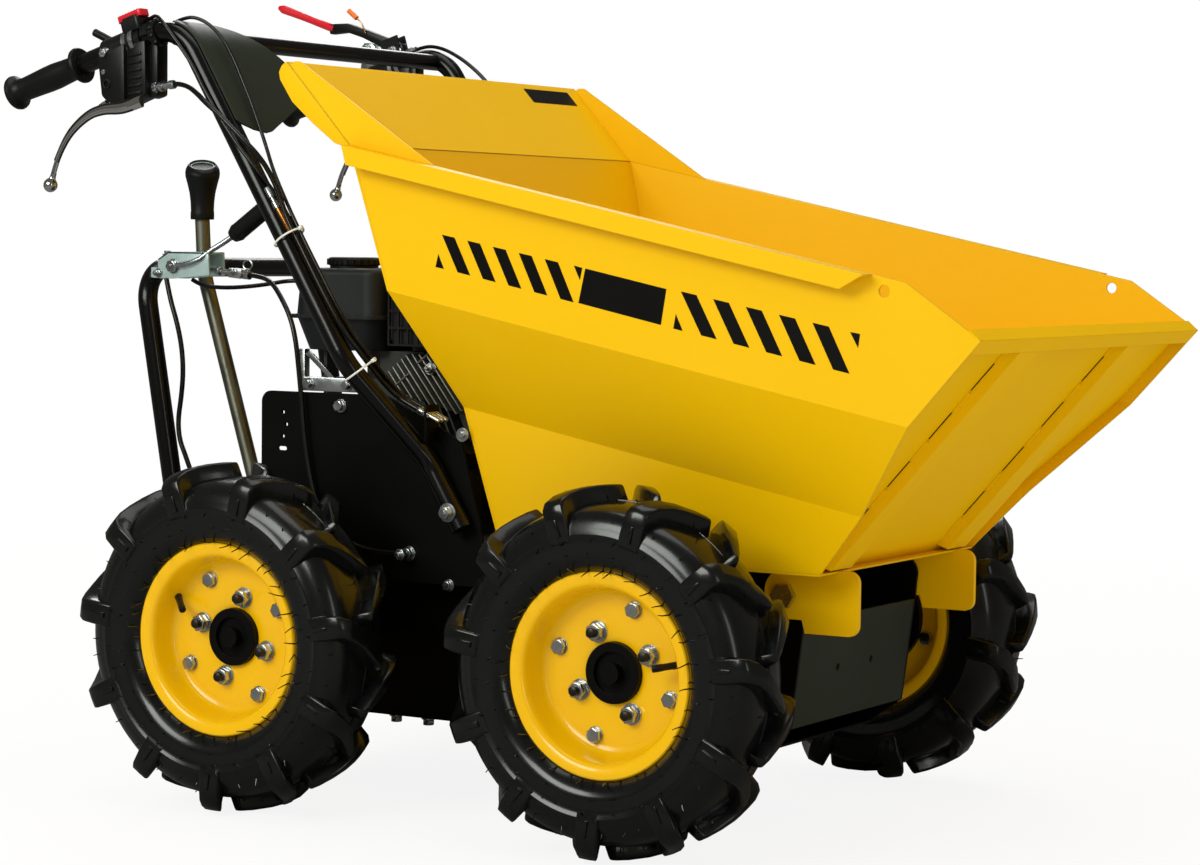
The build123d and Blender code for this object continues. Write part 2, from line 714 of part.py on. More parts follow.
grip_direction = Vector(-1, 0, -grip_slope).normalized()
with BuildPart() as grip:
    grip_start = Vector(grip_end_x, -handle_half_width, grip_z(grip_end_x))
    grip_plane = Plane(origin=grip_start, x_dir=(0, 1, 0), z_dir=-grip_direction)
    for start, length, radius in ((0, grip_length, grip_radius), (0, 8, 22), (grip_length - 7, 7, 23)):
        with BuildSketch(grip_plane.offset(start)):
            Circle(radius)
        extrude(amount=length)
    with BuildSketch(grip_plane.offset(2)):
        Circle(handle_radius + 0.1)
    extrude(amount=grip_length, mode=Mode.SUBTRACT)
with BuildPart() as grips:
    add(grip.part)
    mirror(grip.part, about=Plane.XZ)
save(grips, "grips")

housing_rear, housing_front, housing_width = -512, -446, 36
lever_root = (-480, 845)        # where the hand lever leaves the housing
with BuildPart() as lever_housing:
    with BuildSketch(Plane.XZ.offset(handle_half_width - 16)) as housing_sketch:
        with BuildLine():
            Polyline((housing_rear, grip_z(housing_rear) - 2), (housing_front, grip_z(housing_front) - 2),
                     (housing_front + 6, lever_root[1] + 11), (lever_root[0] - 17, lever_root[1] + 5),
                     (housing_rear + 3, lever_root[1] + 48), close=True)
        make_face()
        fillet(housing_sketch.vertices().sort_by(Axis.Y)[:3], radius=8)
    extrude(amount=housing_width)
    with BuildSketch(grip_plane.offset(grip_length)):
        Circle(handle_radius + 0.1)
    extrude(amount=200, mode=Mode.SUBTRACT)
with BuildPart() as lever_housings:
    add(lever_housing.part)
    mirror(lever_housing.part, about=Plane.XZ)
save(lever_housings, "lever_housings")

lever_y = -handle_half_width - 18
lever_tip = (-593, 752)
with BuildPart() as hand_lever:
    with BuildLine():
        lever_path = FilletPolyline(
            (lever_root[0], lever_y, lever_root[1]), (-527, lever_y, 842), (-572, lever_y, 806),
            (lever_tip[0], lever_y, lever_tip[1]), radius=(60, 70))
    with BuildSketch(Plane(origin=lever_path @ 0, z_dir=lever_path % 0)):
        Ellipse(6, 5)
    sweep(path=lever_path)
    with Locations((lever_tip[0], lever_y, lever_tip[1])):
        Sphere(9)
with BuildPart() as hand_levers:
    add(hand_lever.part)
    mirror(hand_lever.part, about=Plane.XZ)
save(hand_levers, "hand_levers")

switch_x = -465
with BuildPart() as stop_switch:
    switch_plane = Plane(origin=(switch_x, -handle_half_width, grip_z(switch_x)), x_dir=-grip_direction,
                         z_dir=Vector(-grip_slope, 0, 1).normalized())
    with BuildSketch(switch_plane.offset(handle_radius + 0.1)):
        RectangleRounded(26, 26, 4)
    extrude(amount=14)
save(stop_switch, "stop_switch")
with BuildPart() as stop_rocker:
    with BuildSketch(switch_plane.offset(handle_radius + 14.1)):
        RectangleRounded(38, 20, 3)
    extrude(amount=9)
save(stop_rocker, "stop_rocker")

clutch_y = handle_half_width + 6
clutch_x = -474
with BuildPart() as clutch_bracket:
    clutch_plane = Plane(origin=(clutch_x, handle_half_width, grip_z(clutch_x)), x_dir=-grip_direction,
                         z_dir=Vector(-grip_slope, 0, 1).normalized())
    with BuildSketch(clutch_plane.offset(handle_radius + 0.1)):
        Rectangle(34, 26)
    extrude(amount=8)
    with BuildSketch(clutch_plane.offset(handle_radius + 0.1)):
        with Locations((-2, clutch_y - handle_half_width - 9), (-2, clutch_y - handle_half_width + 9)):
            Rectangle(30, 3)
    extrude(amount=32)
save(clutch_bracket, "clutch_bracket")
with BuildPart() as clutch_lever:
    with BuildLine():
        clutch_path = FilletPolyline(
            (-452, clutch_y, 966), (-556, clutch_y, 992), (-600, clutch_y, 992),
            (-685.5, clutch_y, 1019), radius=(60, 60))
    with BuildSketch(Plane(origin=clutch_path @ 0, x_dir=(0, 1, 0), z_dir=clutch_path % 0)):
        Rectangle(14, 10)
    sweep(path=clutch_path)
save(clutch_lever, "clutch_lever")

shield_sheet = 2.5
shield_top_x = -410
leg_normal = Vector(1, 0, handle_rake).normalized()
grip_normal = Vector(-grip_slope, 0, 1).normalized()
shield_offset = handle_radius + seat_gap
shield_corner = (Vector(bend_x, 0, bend_z)
                 + (leg_normal + grip_normal) * (shield_offset / (1 + leg_normal.dot(grip_normal))))
leg_down = Vector(handle_rake, 0, -1).normalized()
with BuildPart() as handle_shield:
    shield_far, shield_near = 115, handle_half_width + 4
    with BuildSketch(Plane.XZ.offset(shield_far)):
        with BuildLine():
            top_end = shield_corner + grip_direction * 62
            low_end = shield_corner + leg_down * 152
            FilletPolyline((top_end.X, top_end.Z), (shield_corner.X, shield_corner.Z),
                           (low_end.X, low_end.Z), radius=handle_bend_radius + shield_offset)
            offset(amount=shield_sheet, side=Side.LEFT)
        make_face()
    extrude(amount=shield_near - shield_far)
    # the top edge is over the bend, and the far lower corner is cut off on the slant
    with BuildSketch(Plane.XY.offset(880)) as top_cut:
        with BuildLine():
            Polyline((-520, -300), (shield_top_x, -300), (shield_top_x + 6, -215), (-345, -100),
                     (-520, -100), close=True)
        make_face()
        fillet(top_cut.vertices().filter_by(lambda v: v.Y == -215), radius=60)
    extrude(amount=100, mode=Mode.SUBTRACT)
    with BuildSketch(Plane(origin=low_end, x_dir=(0, 1, 0), z_dir=leg_normal)) as corner_cut:
        with BuildLine():
            Polyline((-300, -20), (-300, 14), (-262, 0), (-222, 0), (-100, 78), (-100, -20), close=True)
        make_face()
        fillet(corner_cut.vertices().filter_by(lambda v: -270 < v.Y < -210), radius=28)
    extrude(amount=20, both=True, mode=Mode.SUBTRACT)
save(handle_shield, "handle_shield")

# ---------------------------------------------------------------- rear hoop and gear lever
with BuildPart() as rear_hoop:
    with BuildLine():
        top_x, top_z = hoop_top
        foot_x, foot_z = hoop_foot
        hoop_path = FilletPolyline(
            (hoop_front_x, -hoop_half_width, foot_z + 40), (foot_x, -hoop_half_width, foot_z),
            (top_x, -hoop_half_width, top_z), (top_x, hoop_half_width, top_z),
            (foot_x, hoop_half_width, foot_z), (hoop_front_x, hoop_half_width, foot_z + 40),
            radius=(60, 50, 50, 60))
    with BuildSketch(Plane(origin=hoop_path @ 0, z_dir=hoop_path % 0)):
        Circle(hoop_radius)
    sweep(path=hoop_path)
save(rear_hoop, "rear_hoop")

gear_y = -115
gear_foot_x = -396
gear_bend_x, gear_top_x, knob_foot = -497, -502, 712
with BuildPart() as gear_lever:
    with BuildLine():
        gear_path = FilletPolyline((gear_foot_x, gear_y, deck_top + 6), (gear_bend_x, gear_y, 640),
                                   (gear_top_x, gear_y, knob_foot + 18), radius=120)
    with BuildSketch(Plane(origin=gear_path @ 0, z_dir=gear_path % 0)):
        Circle(9.5)
    sweep(path=gear_path)
    with BuildSketch(Plane.XY.offset(deck_top)):
        with Locations((gear_foot_x, gear_y)):
            Circle(17)
    extrude(amount=14)
save(gear_lever, "gear_lever")
with BuildPart() as gear_knob:
    with BuildSketch(Plane(origin=(gear_top_x + 1, gear_y, knob_foot), x_dir=(1, 0, 0), z_dir=(0, -1, 0))):
        with BuildLine():
            Polyline((0, 20), (0, 74), (14, 74), (21, 66), (20, 50), (14, 30), (14, 0), (10.6, 0),
                     (10.6, 20), close=True)
        make_face()
    revolve(axis=Axis((gear_top_x + 1, gear_y, 0), (0, 0, 1)))
save(gear_knob, "gear_knob")

# Throttle lever: a saddle on the right handle tube with a boss and a stick on its inner side.
saddle_x, saddle_length, saddle_radius = -451.5, 10, 16.5
stick_y = -handle_half_width + 23
saddle_plane = Plane(origin=(saddle_x, -handle_half_width, grip_z(saddle_x)), x_dir=(0, 1, 0),
                     z_dir=-grip_direction)
with BuildPart() as throttle_lever:
    with BuildSketch(saddle_plane):
        Circle(saddle_radius)
        with Locations((20, 9)):
            Rectangle(14, 12)
        Circle(handle_radius + 0.1, mode=Mode.SUBTRACT)
        with Locations((0, -saddle_radius - 1)):
            Rectangle(2 * saddle_radius, 2 * saddle_radius, mode=Mode.SUBTRACT)
    extrude(amount=saddle_length)
    with BuildLine():
        stick_path = FilletPolyline((-446, stick_y, 943), (-505, stick_y, 922), (-556, stick_y, 944),
                                    radius=30)
    with BuildSketch(Plane(origin=stick_path @ 0, z_dir=stick_path % 0)):
        Circle(5)
    sweep(path=stick_path)
save(throttle_lever, "throttle_lever")

# Bracket on the hoop's top corner, with the small locking lever and its pull rod.
bracket_y, bracket_half, bracket_sheet = -167, 17, 3
bracket_top = hoop_top[1] + hoop_radius + seat_gap + bracket_sheet
bracket_rear, bracket_front, strip_front = -556, -445, -460
lock_x, lock_z, lock_length = -470, 650, 73
lock_plane = Plane(origin=(lock_x, bracket_y, lock_z), x_dir=(0, 1, 0), z_dir=(60, 0, 41))
rod_plane = Plane(origin=(lock_x, bracket_y, lock_z), x_dir=(0, 1, 0), z_dir=(89, 0, -8))
with BuildPart() as hoop_bracket:
    with Locations(((bracket_rear + strip_front) / 2, bracket_y, bracket_top - bracket_sheet / 2)):
        Box(strip_front - bracket_rear, 2 * bracket_half, bracket_sheet)
    for side in (-1, 1):
        with BuildSketch(Plane.XZ.offset(-bracket_y - side * (bracket_half - bracket_sheet))):
            with BuildLine():
                Polyline((-522, bracket_top - 1), (-522, 645), (-514, 637), (-452, 637),
                         (bracket_front, 643), (bracket_front, 652), (strip_front, bracket_top - 1),
                         close=True)
            make_face()
        extrude(amount=-side * bracket_sheet)
    # lever and pull rod on a pin between the cheeks
    with BuildSketch(Plane.XZ.offset(-bracket_y - bracket_half + bracket_sheet)):
        with Locations((lock_x, lock_z)):
            Circle(4.5)
    extrude(amount=2 * (bracket_half - bracket_sheet))
    with BuildSketch(lock_plane):
        Circle(3.5)
    extrude(amount=lock_length)
    for start, length, radius in ((0, 60, 3), (54, 34, 6)):
        with BuildSketch(rod_plane.offset(start)):
            Circle(radius)
        extrude(amount=length)
save(hoop_bracket, "hoop_bracket")
with BuildPart() as lock_knob:
    with BuildSketch(lock_plane.offset(lock_length)):
        Circle(9)
    extrude(amount=8, taper=-20)
    with BuildSketch(lock_plane.offset(lock_length + 8)):
        Circle(11.5)
    extrude(amount=52)
save(lock_knob, "lock_knob")

# Fittings that hold the cables' ends: threaded barrels, a stop plate on each side plate,
# an anchor on the right side plate and a ferrule on the deck.
barrel_radius = 5
stop_x, stop_z = -72, 481
stop_direction = Vector(0.92, 0, -0.39).normalized()
stop_sheet, barrel_back, barrel_length = 3, 14, 34
brake_barrel, anchor_at, ferrule_at = (-440.6, 872), (-112, 310), (-398, -142)
right_stops = (-209, -217.5, -226)
with BuildPart() as cable_fittings:
    for side, barrels in ((-1, right_stops), (1, (217.5,))):
        with BuildSketch(Plane.XZ.offset(-side * (side_plate_half_width + seat_gap))):
            with Locations((stop_x, stop_z - 11)):
                Rectangle(stop_sheet, 44)
        extrude(amount=-side * 29)
        for barrel_y in barrels:
            stop_plane = Plane(origin=Vector(stop_x, barrel_y, stop_z) - stop_direction * barrel_back,
                               x_dir=(0, 1, 0), z_dir=stop_direction)
            with BuildSketch(stop_plane):
                Circle(3.8)
            extrude(amount=barrel_length)
    with BuildSketch(Plane(origin=(brake_barrel[0], -handle_half_width, brake_barrel[1]), x_dir=(0, 1, 0),
                           z_dir=(1, 0, 0.15))):
        Circle(barrel_radius)
    extrude(amount=14)
    with BuildSketch(Plane.XZ.offset(side_plate_half_width + seat_gap)):
        with Locations(anchor_at):
            Rectangle(12, 12)
    extrude(amount=14)
    with BuildSketch(Plane.XY.offset(deck_top)):
        with Locations(ferrule_at):
            Circle(5)
    extrude(amount=10)
    # barrel beside the clutch lever, on the front of its bracket
    with BuildSketch(Plane(origin=clutch_plane.origin + clutch_plane.z_dir * (handle_radius + 0.1)
                           + clutch_plane.x_dir * 17, x_dir=(0, 1, 0), z_dir=clutch_plane.x_dir)):
        with Locations((clutch_y - handle_half_width, 4.4)):
            Circle(4)
    extrude(amount=17)
save(cable_fittings, "cable_fittings")

# ---------------------------------------------------------------- cables
# Each is a sheath along a list of points, from fitting to fitting: name, radius, points.
cables = [
    ("cable_brake", 3.2, [
        (-426.4, -285, 874.2), (-408, -285.6, 877), (-385, -290, 873), (-364, -300, 864), (-343, -308, 851),
        (-322, -309, 837), (-304, -309, 822), (-287, -306, 806), (-272, -300, 790), (-260, -294, 772),
        (-247, -290.5, 747), (-235.5, -289, 714), (-214, -289, 680), (-192, -289, 644), (-171, -288, 610),
        (-151, -284, 577), (-136, -270, 551), (-129, -251, 528), (-120, -235, 509), (-107, -226.6, 496),
        (-85.3, -226, 486.7)]),
    ("cable_throttle", 2.3, [
        (-443.9, -265, 946.2), (-431, -264.6, 951), (-415, -264, 957), (-397, -262, 959.5), (-376, -257, 949),
        (-359, -252, 930), (-345, -250, 906), (-332, -250.5, 881), (-317, -253, 855), (-302, -257, 828),
        (-287, -262, 801), (-271, -269, 772), (-250, -277, 743), (-228, -284, 713),
        (-207, -285.5, 680), (-184.5, -285, 644),
        (-164, -284, 610), (-144, -278, 577), (-129, -263, 549), (-123, -242, 526), (-115, -226, 508),
        (-105, -218, 495), (-85.2, -217.5, 486.6)]),
    ("cable_stop", 2.3, [
        (-457.9, -285, 953), (-445, -287, 957.4), (-431, -294, 960), (-417, -300.6, 952), (-403, -301.5, 937),
        (-389, -301, 921), (-375, -301.5, 905), (-363, -301, 888), (-353, -301.5, 871), (-342, -301, 855),
        (-330, -301.5, 838), (-315, -301, 818), (-298, -299.6, 797), (-277, -296, 773), (-254.5, -287.5, 745),
        (-236, -281, 713), (-214, -280.6, 680), (-192, -281, 644), (-171, -280, 610), (-151, -274, 577),
        (-138, -256, 550), (-133, -236, 528), (-124, -219, 510), (-109, -209.6, 496.5),
        (-85.2, -209, 486.6)]),
    ("cable_clutch", 2.6, [
        (-446, 291, 953.9), (-430, 290.6, 958.5), (-404, 287, 955), (-378, 283, 945), (-352, 281, 930),
        (-326, 281, 909), (-305, 283, 882), (-291, 284.5, 850), (-279, 285, 813), (-264, 285.5, 776),
        (-246, 285, 739), (-225, 285.4, 700), (-201, 285, 660), (-177, 284, 620), (-154, 278, 583),
        (-137, 263, 553), (-130, 243, 529), (-121, 228, 510), (-107, 218.3, 496), (-85.3, 217.5, 486.7)]),
    ("cable_gear", 2.6, [
        (-381.7, -167, 642), (-360, -170, 640), (-336, -183, 633), (-311, -198, 616), (-290, -206.5, 592),
        (-279, -210, 564), (-274, -210.6, 530), (-269.5, -210, 489), (-265, -210.5, 447), (-259, -210, 411),
        (-251, -210.4, 379), (-236, -210, 350), (-212, -210.2, 327), (-182, -209.6, 314), (-150, -209.3, 310),
        (-118.3, -209.3, 310)]),
    ("cable_lock", 2.4, [
        (-505, -182.5, 636.2), (-498, -184, 611), (-486, -185.4, 583), (-478, -185, 552),
        (-474.5, -185.6, 520),
        (-477, -186, 488), (-481, -188, 457), (-477, -190, 432), (-467, -190, 412), (-460, -187, 390),
        (-448, -178, 369), (-427, -163, 359), (-404, -147, 350), (-398, -142, 327)]),
    ("cable_cross", 2.2, [
        (-488, -151.6, 635), (-477, -149, 628), (-454, -140, 625), (-430, -122, 626), (-409, -96, 630),
        (-394, -73, 635), (-369.6, -71, 635)]),
]
for name, sheath, points in cables:
    runs = [Vector(*b) - Vector(*a) for a, b in zip(points, points[1:])]
    radii = [0.45 * min(run.length, after.length) / tan(radians(run.get_angle(after) / 2))
             for run, after in zip(runs, runs[1:])]
    with BuildPart() as cable:
        with BuildLine():
            route = FilletPolyline(*points, radius=radii)
        with BuildSketch(Plane(origin=route @ 0, z_dir=route % 0)):
            Circle(sheath)
        sweep(path=route)
    print(name, "length", round(route.length), "radii", [round(radius) for radius in radii],
          "volume share", round(cable.part.volume / (route.length * pi * sheath**2), 3))
    save(cable, name)
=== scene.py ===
import json
import random
from math import atan2, cos, pi, radians, sin

import bmesh
import bpy
from mathutils import Matrix, Vector


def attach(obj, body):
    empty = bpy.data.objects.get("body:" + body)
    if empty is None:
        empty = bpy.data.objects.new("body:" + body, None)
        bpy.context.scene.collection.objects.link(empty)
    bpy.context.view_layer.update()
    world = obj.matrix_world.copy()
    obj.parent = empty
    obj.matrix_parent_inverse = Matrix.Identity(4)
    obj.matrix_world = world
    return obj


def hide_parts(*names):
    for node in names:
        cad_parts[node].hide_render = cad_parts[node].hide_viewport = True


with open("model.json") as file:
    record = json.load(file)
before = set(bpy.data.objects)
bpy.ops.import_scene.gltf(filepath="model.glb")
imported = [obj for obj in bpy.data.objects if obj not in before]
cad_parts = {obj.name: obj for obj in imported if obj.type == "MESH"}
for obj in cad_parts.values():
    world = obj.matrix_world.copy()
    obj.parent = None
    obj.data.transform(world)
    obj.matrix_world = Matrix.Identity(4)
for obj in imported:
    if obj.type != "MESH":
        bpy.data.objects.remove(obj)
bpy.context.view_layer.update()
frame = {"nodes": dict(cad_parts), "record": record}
scene = bpy.context.scene

MM = 0.001  # lengths are in millimetres until a piece is made
WHEELBASE = 532
TRACK = 664
AXLE_MIDDLE = -8
AXLE_HEIGHT = 210
FRONT_AXLE, REAR_AXLE = AXLE_MIDDLE + WHEELBASE / 2, AXLE_MIDDLE - WHEELBASE / 2
SIDES = {"right": -1, "left": 1}
AXIS = 0.01  # radius at which a turned form closes on its axis


# ---- placements
def moved(x, y, z):
    """Placement shifted from the origin."""
    return Matrix.Translation((x, y, z))


def aim(origin, z_axis, x_hint=(1, 0, 0)):
    """Placement in millimetres: its z along z_axis, its x as near x_hint as it can be."""
    z = Vector(z_axis).normalized()
    x = (Vector(x_hint) - z * Vector(x_hint).dot(z)).normalized()
    turn = Matrix((x, z.cross(x), z)).transposed().to_4x4()
    return Matrix.Translation(Vector(origin)) @ turn


def flipped(side):
    """Mirror across the machine's middle plane for side +1, or nothing for -1."""
    return Matrix.Diagonal((1, -1 if side > 0 else 1, 1, 1))


def side_view(y):
    """Placement for outlines in the machine's x and z, raised towards the right from y = -y."""
    return aim((0, -y, 0), (0, -1, 0))


def side_spot(x, z, y):
    """Placement of what faces right at a point of the machine's right side."""
    return side_view(y) @ moved(x, z, 0)


def circle(radius, count, first=0.0):
    """Points (x, y) spaced evenly round a circle, from an angle in radians."""
    turns = [first + 2 * pi * k / count for k in range(count)]
    return [(radius * cos(a), radius * sin(a)) for a in turns]


def ellipse(placed, wide, high, count):
    """Points once round an ellipse of two half widths, back to the first."""
    return [placed @ Vector((wide * x, high * y, 0)) for x, y in circle(1, count) + [(1, 0)]]


def outward(bm):
    bmesh.ops.recalc_face_normals(bm, faces=bm.faces)
    return bm


# ---- shapes
def place(name, data):
    """A new object of some data, in the scene."""
    made = bpy.data.objects.new(name, data)
    scene.collection.objects.link(made)
    return made


def piece(name, bm, slot, smooth=35, body="chassis", material=None, placed=None, replaces=None):
    """A mesh in millimetres becomes an object in metres that rides a body and may replace a node.
    Its material is the one of its slot, unless another is given."""
    if placed is not None:
        bmesh.ops.transform(bm, matrix=placed, verts=bm.verts)
        if placed.determinant() < 0:
            bmesh.ops.reverse_faces(bm, faces=bm.faces)
    bmesh.ops.scale(bm, vec=(MM, MM, MM), verts=bm.verts)
    mesh = bpy.data.meshes.new(name)
    bm.to_mesh(mesh)
    bm.free()
    mesh.shade_smooth()
    mesh.set_sharp_from_angle(angle=radians(smooth))
    mesh.materials.append(material or SLOT_FINISH[slot])
    made = place(name, mesh)
    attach(made, body)
    if replaces:
        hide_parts(replaces)


def join(bm, other, placed=None):
    """Adds a copy of another mesh."""
    start = len(bm.verts)
    mesh = bpy.data.meshes.new("part")
    other.to_mesh(mesh)
    bm.from_mesh(mesh)
    bpy.data.meshes.remove(mesh)
    bm.verts.ensure_lookup_table()
    new = bm.verts[start:]
    if placed is not None:
        bmesh.ops.transform(bm, matrix=placed, verts=new)
        if placed.determinant() < 0:
            faces = {f for v in new for f in v.link_faces}
            bmesh.ops.reverse_faces(bm, faces=list(faces))
    return bm


def settled(new, placed, bm):
    """Places a new mesh and adds it to bm, where there is one."""
    if placed is not None:
        bmesh.ops.transform(new, matrix=placed, verts=new.verts)
    if bm is None:
        return new
    join(bm, new)
    new.free()
    return bm


def grid(bm, rows, closed_rows=False, closed_columns=False, caps=False):
    """Quads between rows of points."""
    verts = [[bm.verts.new(p) for p in row] for row in rows]
    count = len(rows)
    for i in range(count if closed_rows else count - 1):
        a, b = verts[i], verts[(i + 1) % count]
        for j in range(len(a) if closed_columns else len(a) - 1):
            k = (j + 1) % len(a)
            bm.faces.new((a[j], a[k], b[k], b[j]))
    if caps:
        bm.faces.new(list(reversed(verts[0])))
        bm.faces.new(verts[-1])


def lathe(profile, steps=48, placed=None, bm=None):
    """Turns a profile of (radius, height) about z."""
    new = bmesh.new()
    rows = []
    for k in range(steps):
        a = 2 * pi * k / steps
        rows.append([(r * cos(a), r * sin(a), h) for r, h in profile])
    grid(new, rows, closed_rows=True)
    bmesh.ops.remove_doubles(new, verts=new.verts, dist=1e-4)
    return settled(outward(new), placed, bm)


def solid(profile, steps, placed=None, bm=None):
    """Turns a profile that runs on straight to the axis at both ends."""
    return lathe([(AXIS, profile[0][1])] + profile + [(AXIS, profile[-1][1])], steps, placed, bm)


def prism(outline, depth, placed=None, bevel=0, bm=None, segments=2):
    """An outline of (x, y) raised by depth along z, with its edges rounded."""
    new = bmesh.new()
    grid(new, [[(x, y, z) for x, y in outline] for z in (0, depth)], closed_columns=True, caps=True)
    outward(new)
    if bevel:
        bmesh.ops.bevel(new, geom=new.edges, offset=bevel, segments=segments, profile=0.5,
                        affect="EDGES", clamp_overlap=True)
    return settled(new, placed, bm)


def box(size, centre, bevel=0, bm=None, placed=None, segments=2):
    """A block with rounded edges, centred at a point."""
    x, y, z = (s / 2 for s in size)
    spot = Matrix.Translation(Vector(centre) - Vector((0, 0, z)))
    if placed is not None:
        spot = placed @ spot
    return prism([(-x, -y), (x, -y), (x, y), (-x, y)], 2 * z, spot, bevel, bm, segments)


def rounded(width, height, radius, steps=5):
    """Outline of a rectangle with round corners."""
    points = []
    for cx, cy, first in ((1, 1, 0), (-1, 1, 90), (-1, -1, 180), (1, -1, 270)):
        for k in range(steps + 1):
            a = radians(first + 90 * k / steps)
            points.append((cx * (width / 2 - radius) + radius * cos(a),
                           cy * (height / 2 - radius) + radius * sin(a)))
    return points


def smooth_path(points, step):
    """Points along a smooth line through the given ones, about a step apart."""
    p = [Vector(q) for q in points]
    p = [2 * p[0] - p[1]] + p + [2 * p[-1] - p[-2]]
    out = []
    for a, b, c, d in zip(p, p[1:], p[2:], p[3:]):
        count = max(2, int((c - b).length / step))
        for k in range(count):
            t = k / count
            m1, m2 = (c - a) / 2, (d - b) / 2
            out.append((2 * t**3 - 3 * t**2 + 1) * b + (t**3 - 2 * t**2 + t) * m1
                       + (3 * t**2 - 2 * t**3) * c + (t**3 - t**2) * m2)
    out.append(p[-2])
    return out


def tube(points, radius, sides=14, bm=None, flat=1.0, caps=True, up=(0, 0, 1)):
    """A tube along points. radius is one number, or a function of the share of the way."""
    new = bmesh.new()
    points = [Vector(q) for q in points]
    side = (points[1] - points[0]).cross(Vector(up))
    rows = []
    for k, p in enumerate(points):
        ahead = (points[min(k + 1, len(points) - 1)] - points[max(k - 1, 0)]).normalized()
        side = (side - ahead * side.dot(ahead)).normalized()
        other = ahead.cross(side)
        r = radius(k / (len(points) - 1)) if callable(radius) else radius
        rows.append([p + side * x + other * (y * flat) for x, y in circle(r, sides)])
    grid(new, rows, closed_columns=True, caps=caps)
    return settled(outward(new), None, bm)


def hex_outline(across):
    return circle(across / 2 / cos(radians(30)), 6)


def hex_head(bm, placed, across, height, washer=0.0, washer_height=1.6, stud=None):
    """A bolt head or nut along z of its placement, with a washer of that width and with the stud that
    stands out of it, as (width, height)."""
    z = 0
    if washer:
        r = washer / 2
        solid([(r - 0.3, 0), (r, 0.3), (r, washer_height - 0.3), (r - 0.3, washer_height)], 28, placed, bm)
        z = washer_height
    seat = placed @ moved(0, 0, z)
    prism(hex_outline(across), height, seat, across * 0.05, bm)
    r = across * 0.475
    solid([(r * 0.93, height + 0.25), (r, height - 0.4)], 24, seat, bm)
    if stud:
        r, top = stud[0] / 2, z + height + stud[1]
        solid([(r, 0), (r, top - 1), (r - 1, top)], 20, placed, bm)


# ---- materials
def linear(r, g, b):
    """A colour written as 0 to 255 screen values, as a shader takes it."""
    return [c / 255 / 12.92 if c <= 10 else ((c / 255 + 0.055) / 1.055) ** 2.4 for c in (r, g, b)]


def feed(tree, node, *first, **named):
    """Gives a shader node its first inputs in their order, and others by name with _ for a space.
    Each is a value, or a node and its output."""
    inputs = [*enumerate(first), *((name.replace("_", " "), value) for name, value in named.items())]
    for key, value in inputs:
        if isinstance(value, tuple) and isinstance(value[0], bpy.types.Node):
            tree.links.new(value[0].outputs[value[1]], node.inputs[key])
        else:
            node.inputs[key].default_value = value
    return node


def add(tree, kind, *first, **named):
    return feed(tree, tree.nodes.new(f"ShaderNode{kind}"), *first, **named)


def finish(name, color, roughness, metallic=0.0, coat=0.0, spread=0.06, mottle=0.05, patch=6.0,
           grain=400.0, bump=0.03, edge=0.0, stretch=(1, 1, 1), specular=0.5, ior=1.5):
    """A surface with patches of colour, uneven gloss, a fine grain and rounded-looking edges."""
    mat = bpy.data.materials.new(name)
    mat.use_nodes = True
    tree = mat.node_tree
    color = linear(*color)
    coords = add(tree, "TexCoord")
    mapping = add(tree, "Mapping", (coords, "Object"), Scale=stretch)
    broad = add(tree, "TexNoise", (mapping, "Vector"), Scale=patch, Detail=5)
    tint = add(tree, "Mix")
    tint.data_type = "RGBA"
    feed(tree, tint, Factor=(broad, "Fac"), A=[c * (1 - mottle) for c in color] + [1],
         B=[min(1, c * (1 + mottle)) for c in color] + [1])
    gloss = add(tree, "MapRange", (broad, "Fac"), From_Min=0.3, From_Max=0.7,
                To_Min=max(0.02, roughness - spread), To_Max=min(1, roughness + spread))
    fine = add(tree, "TexNoise", (mapping, "Vector"), Scale=grain, Detail=3)
    raised = add(tree, "Bump", Strength=bump, Distance=0.4 * MM, Height=(fine, "Fac"))
    if edge:
        bevel = add(tree, "Bevel", Radius=edge * MM)
        bevel.samples = 4
        feed(tree, raised, Normal=(bevel, "Normal"))
    feed(tree, tree.nodes["Principled BSDF"], Base_Color=(tint, "Result"), Roughness=(gloss, "Result"),
         Normal=(raised, "Normal"), Metallic=metallic, Specular_IOR_Level=specular, IOR=ior,
         Coat_Weight=coat, Coat_Roughness=0.12)
    return mat


YELLOW = (235, 185, 0)
SKIP_SURFACE = {"grain": 900, "bump": 0.05, "edge": 1.5, "mottle": 0.02, "ior": 1.3}
skip_paint = finish("skip_paint", YELLOW, 0.4, specular=0.35, **SKIP_SURFACE)
front_paint = finish("front_paint", YELLOW, 0.5, specular=0.06, **SKIP_SURFACE)
rim_paint = finish("rim_paint", (236, 183, 0), 0.24, coat=0.5, grain=500, bump=0.06, edge=0.8,
                   mottle=0.02, ior=1.35)
black_paint = finish("black_paint", (7, 7, 8), 0.22, coat=0.12, grain=700, bump=0.08, edge=1.2,
                     mottle=0.1, specular=0.3)
frame_paint = finish("frame_paint", (5, 5, 5), 0.4, grain=800, bump=0.1, edge=1.2, mottle=0.12,
                     specular=0.15)
grey_paint = finish("grey_paint", (38, 45, 34), 0.45, grain=700, bump=0.08, edge=0.8, mottle=0.06,
                    specular=0.3)
stripe_black = finish("stripe_black", (5, 4, 3), 0.4, grain=900, bump=0.04, specular=0.25)
tyre_rubber = finish("tyre_rubber", (7, 10, 10), 0.24, grain=260, bump=0.1, mottle=0.15, spread=0.08,
                     patch=14, specular=0.4, coat=0.35)
grip_rubber = finish("grip_rubber", (10, 13, 13), 0.42, grain=900, bump=0.25, mottle=0.08, specular=0.3)
sheath = finish("sheath", (7, 7, 8), 0.28, grain=1200, bump=0.15)
moulded = finish("moulded", (10, 12, 13), 0.36, grain=1500, bump=0.3, mottle=0.06, edge=0.6,
                 specular=0.4)
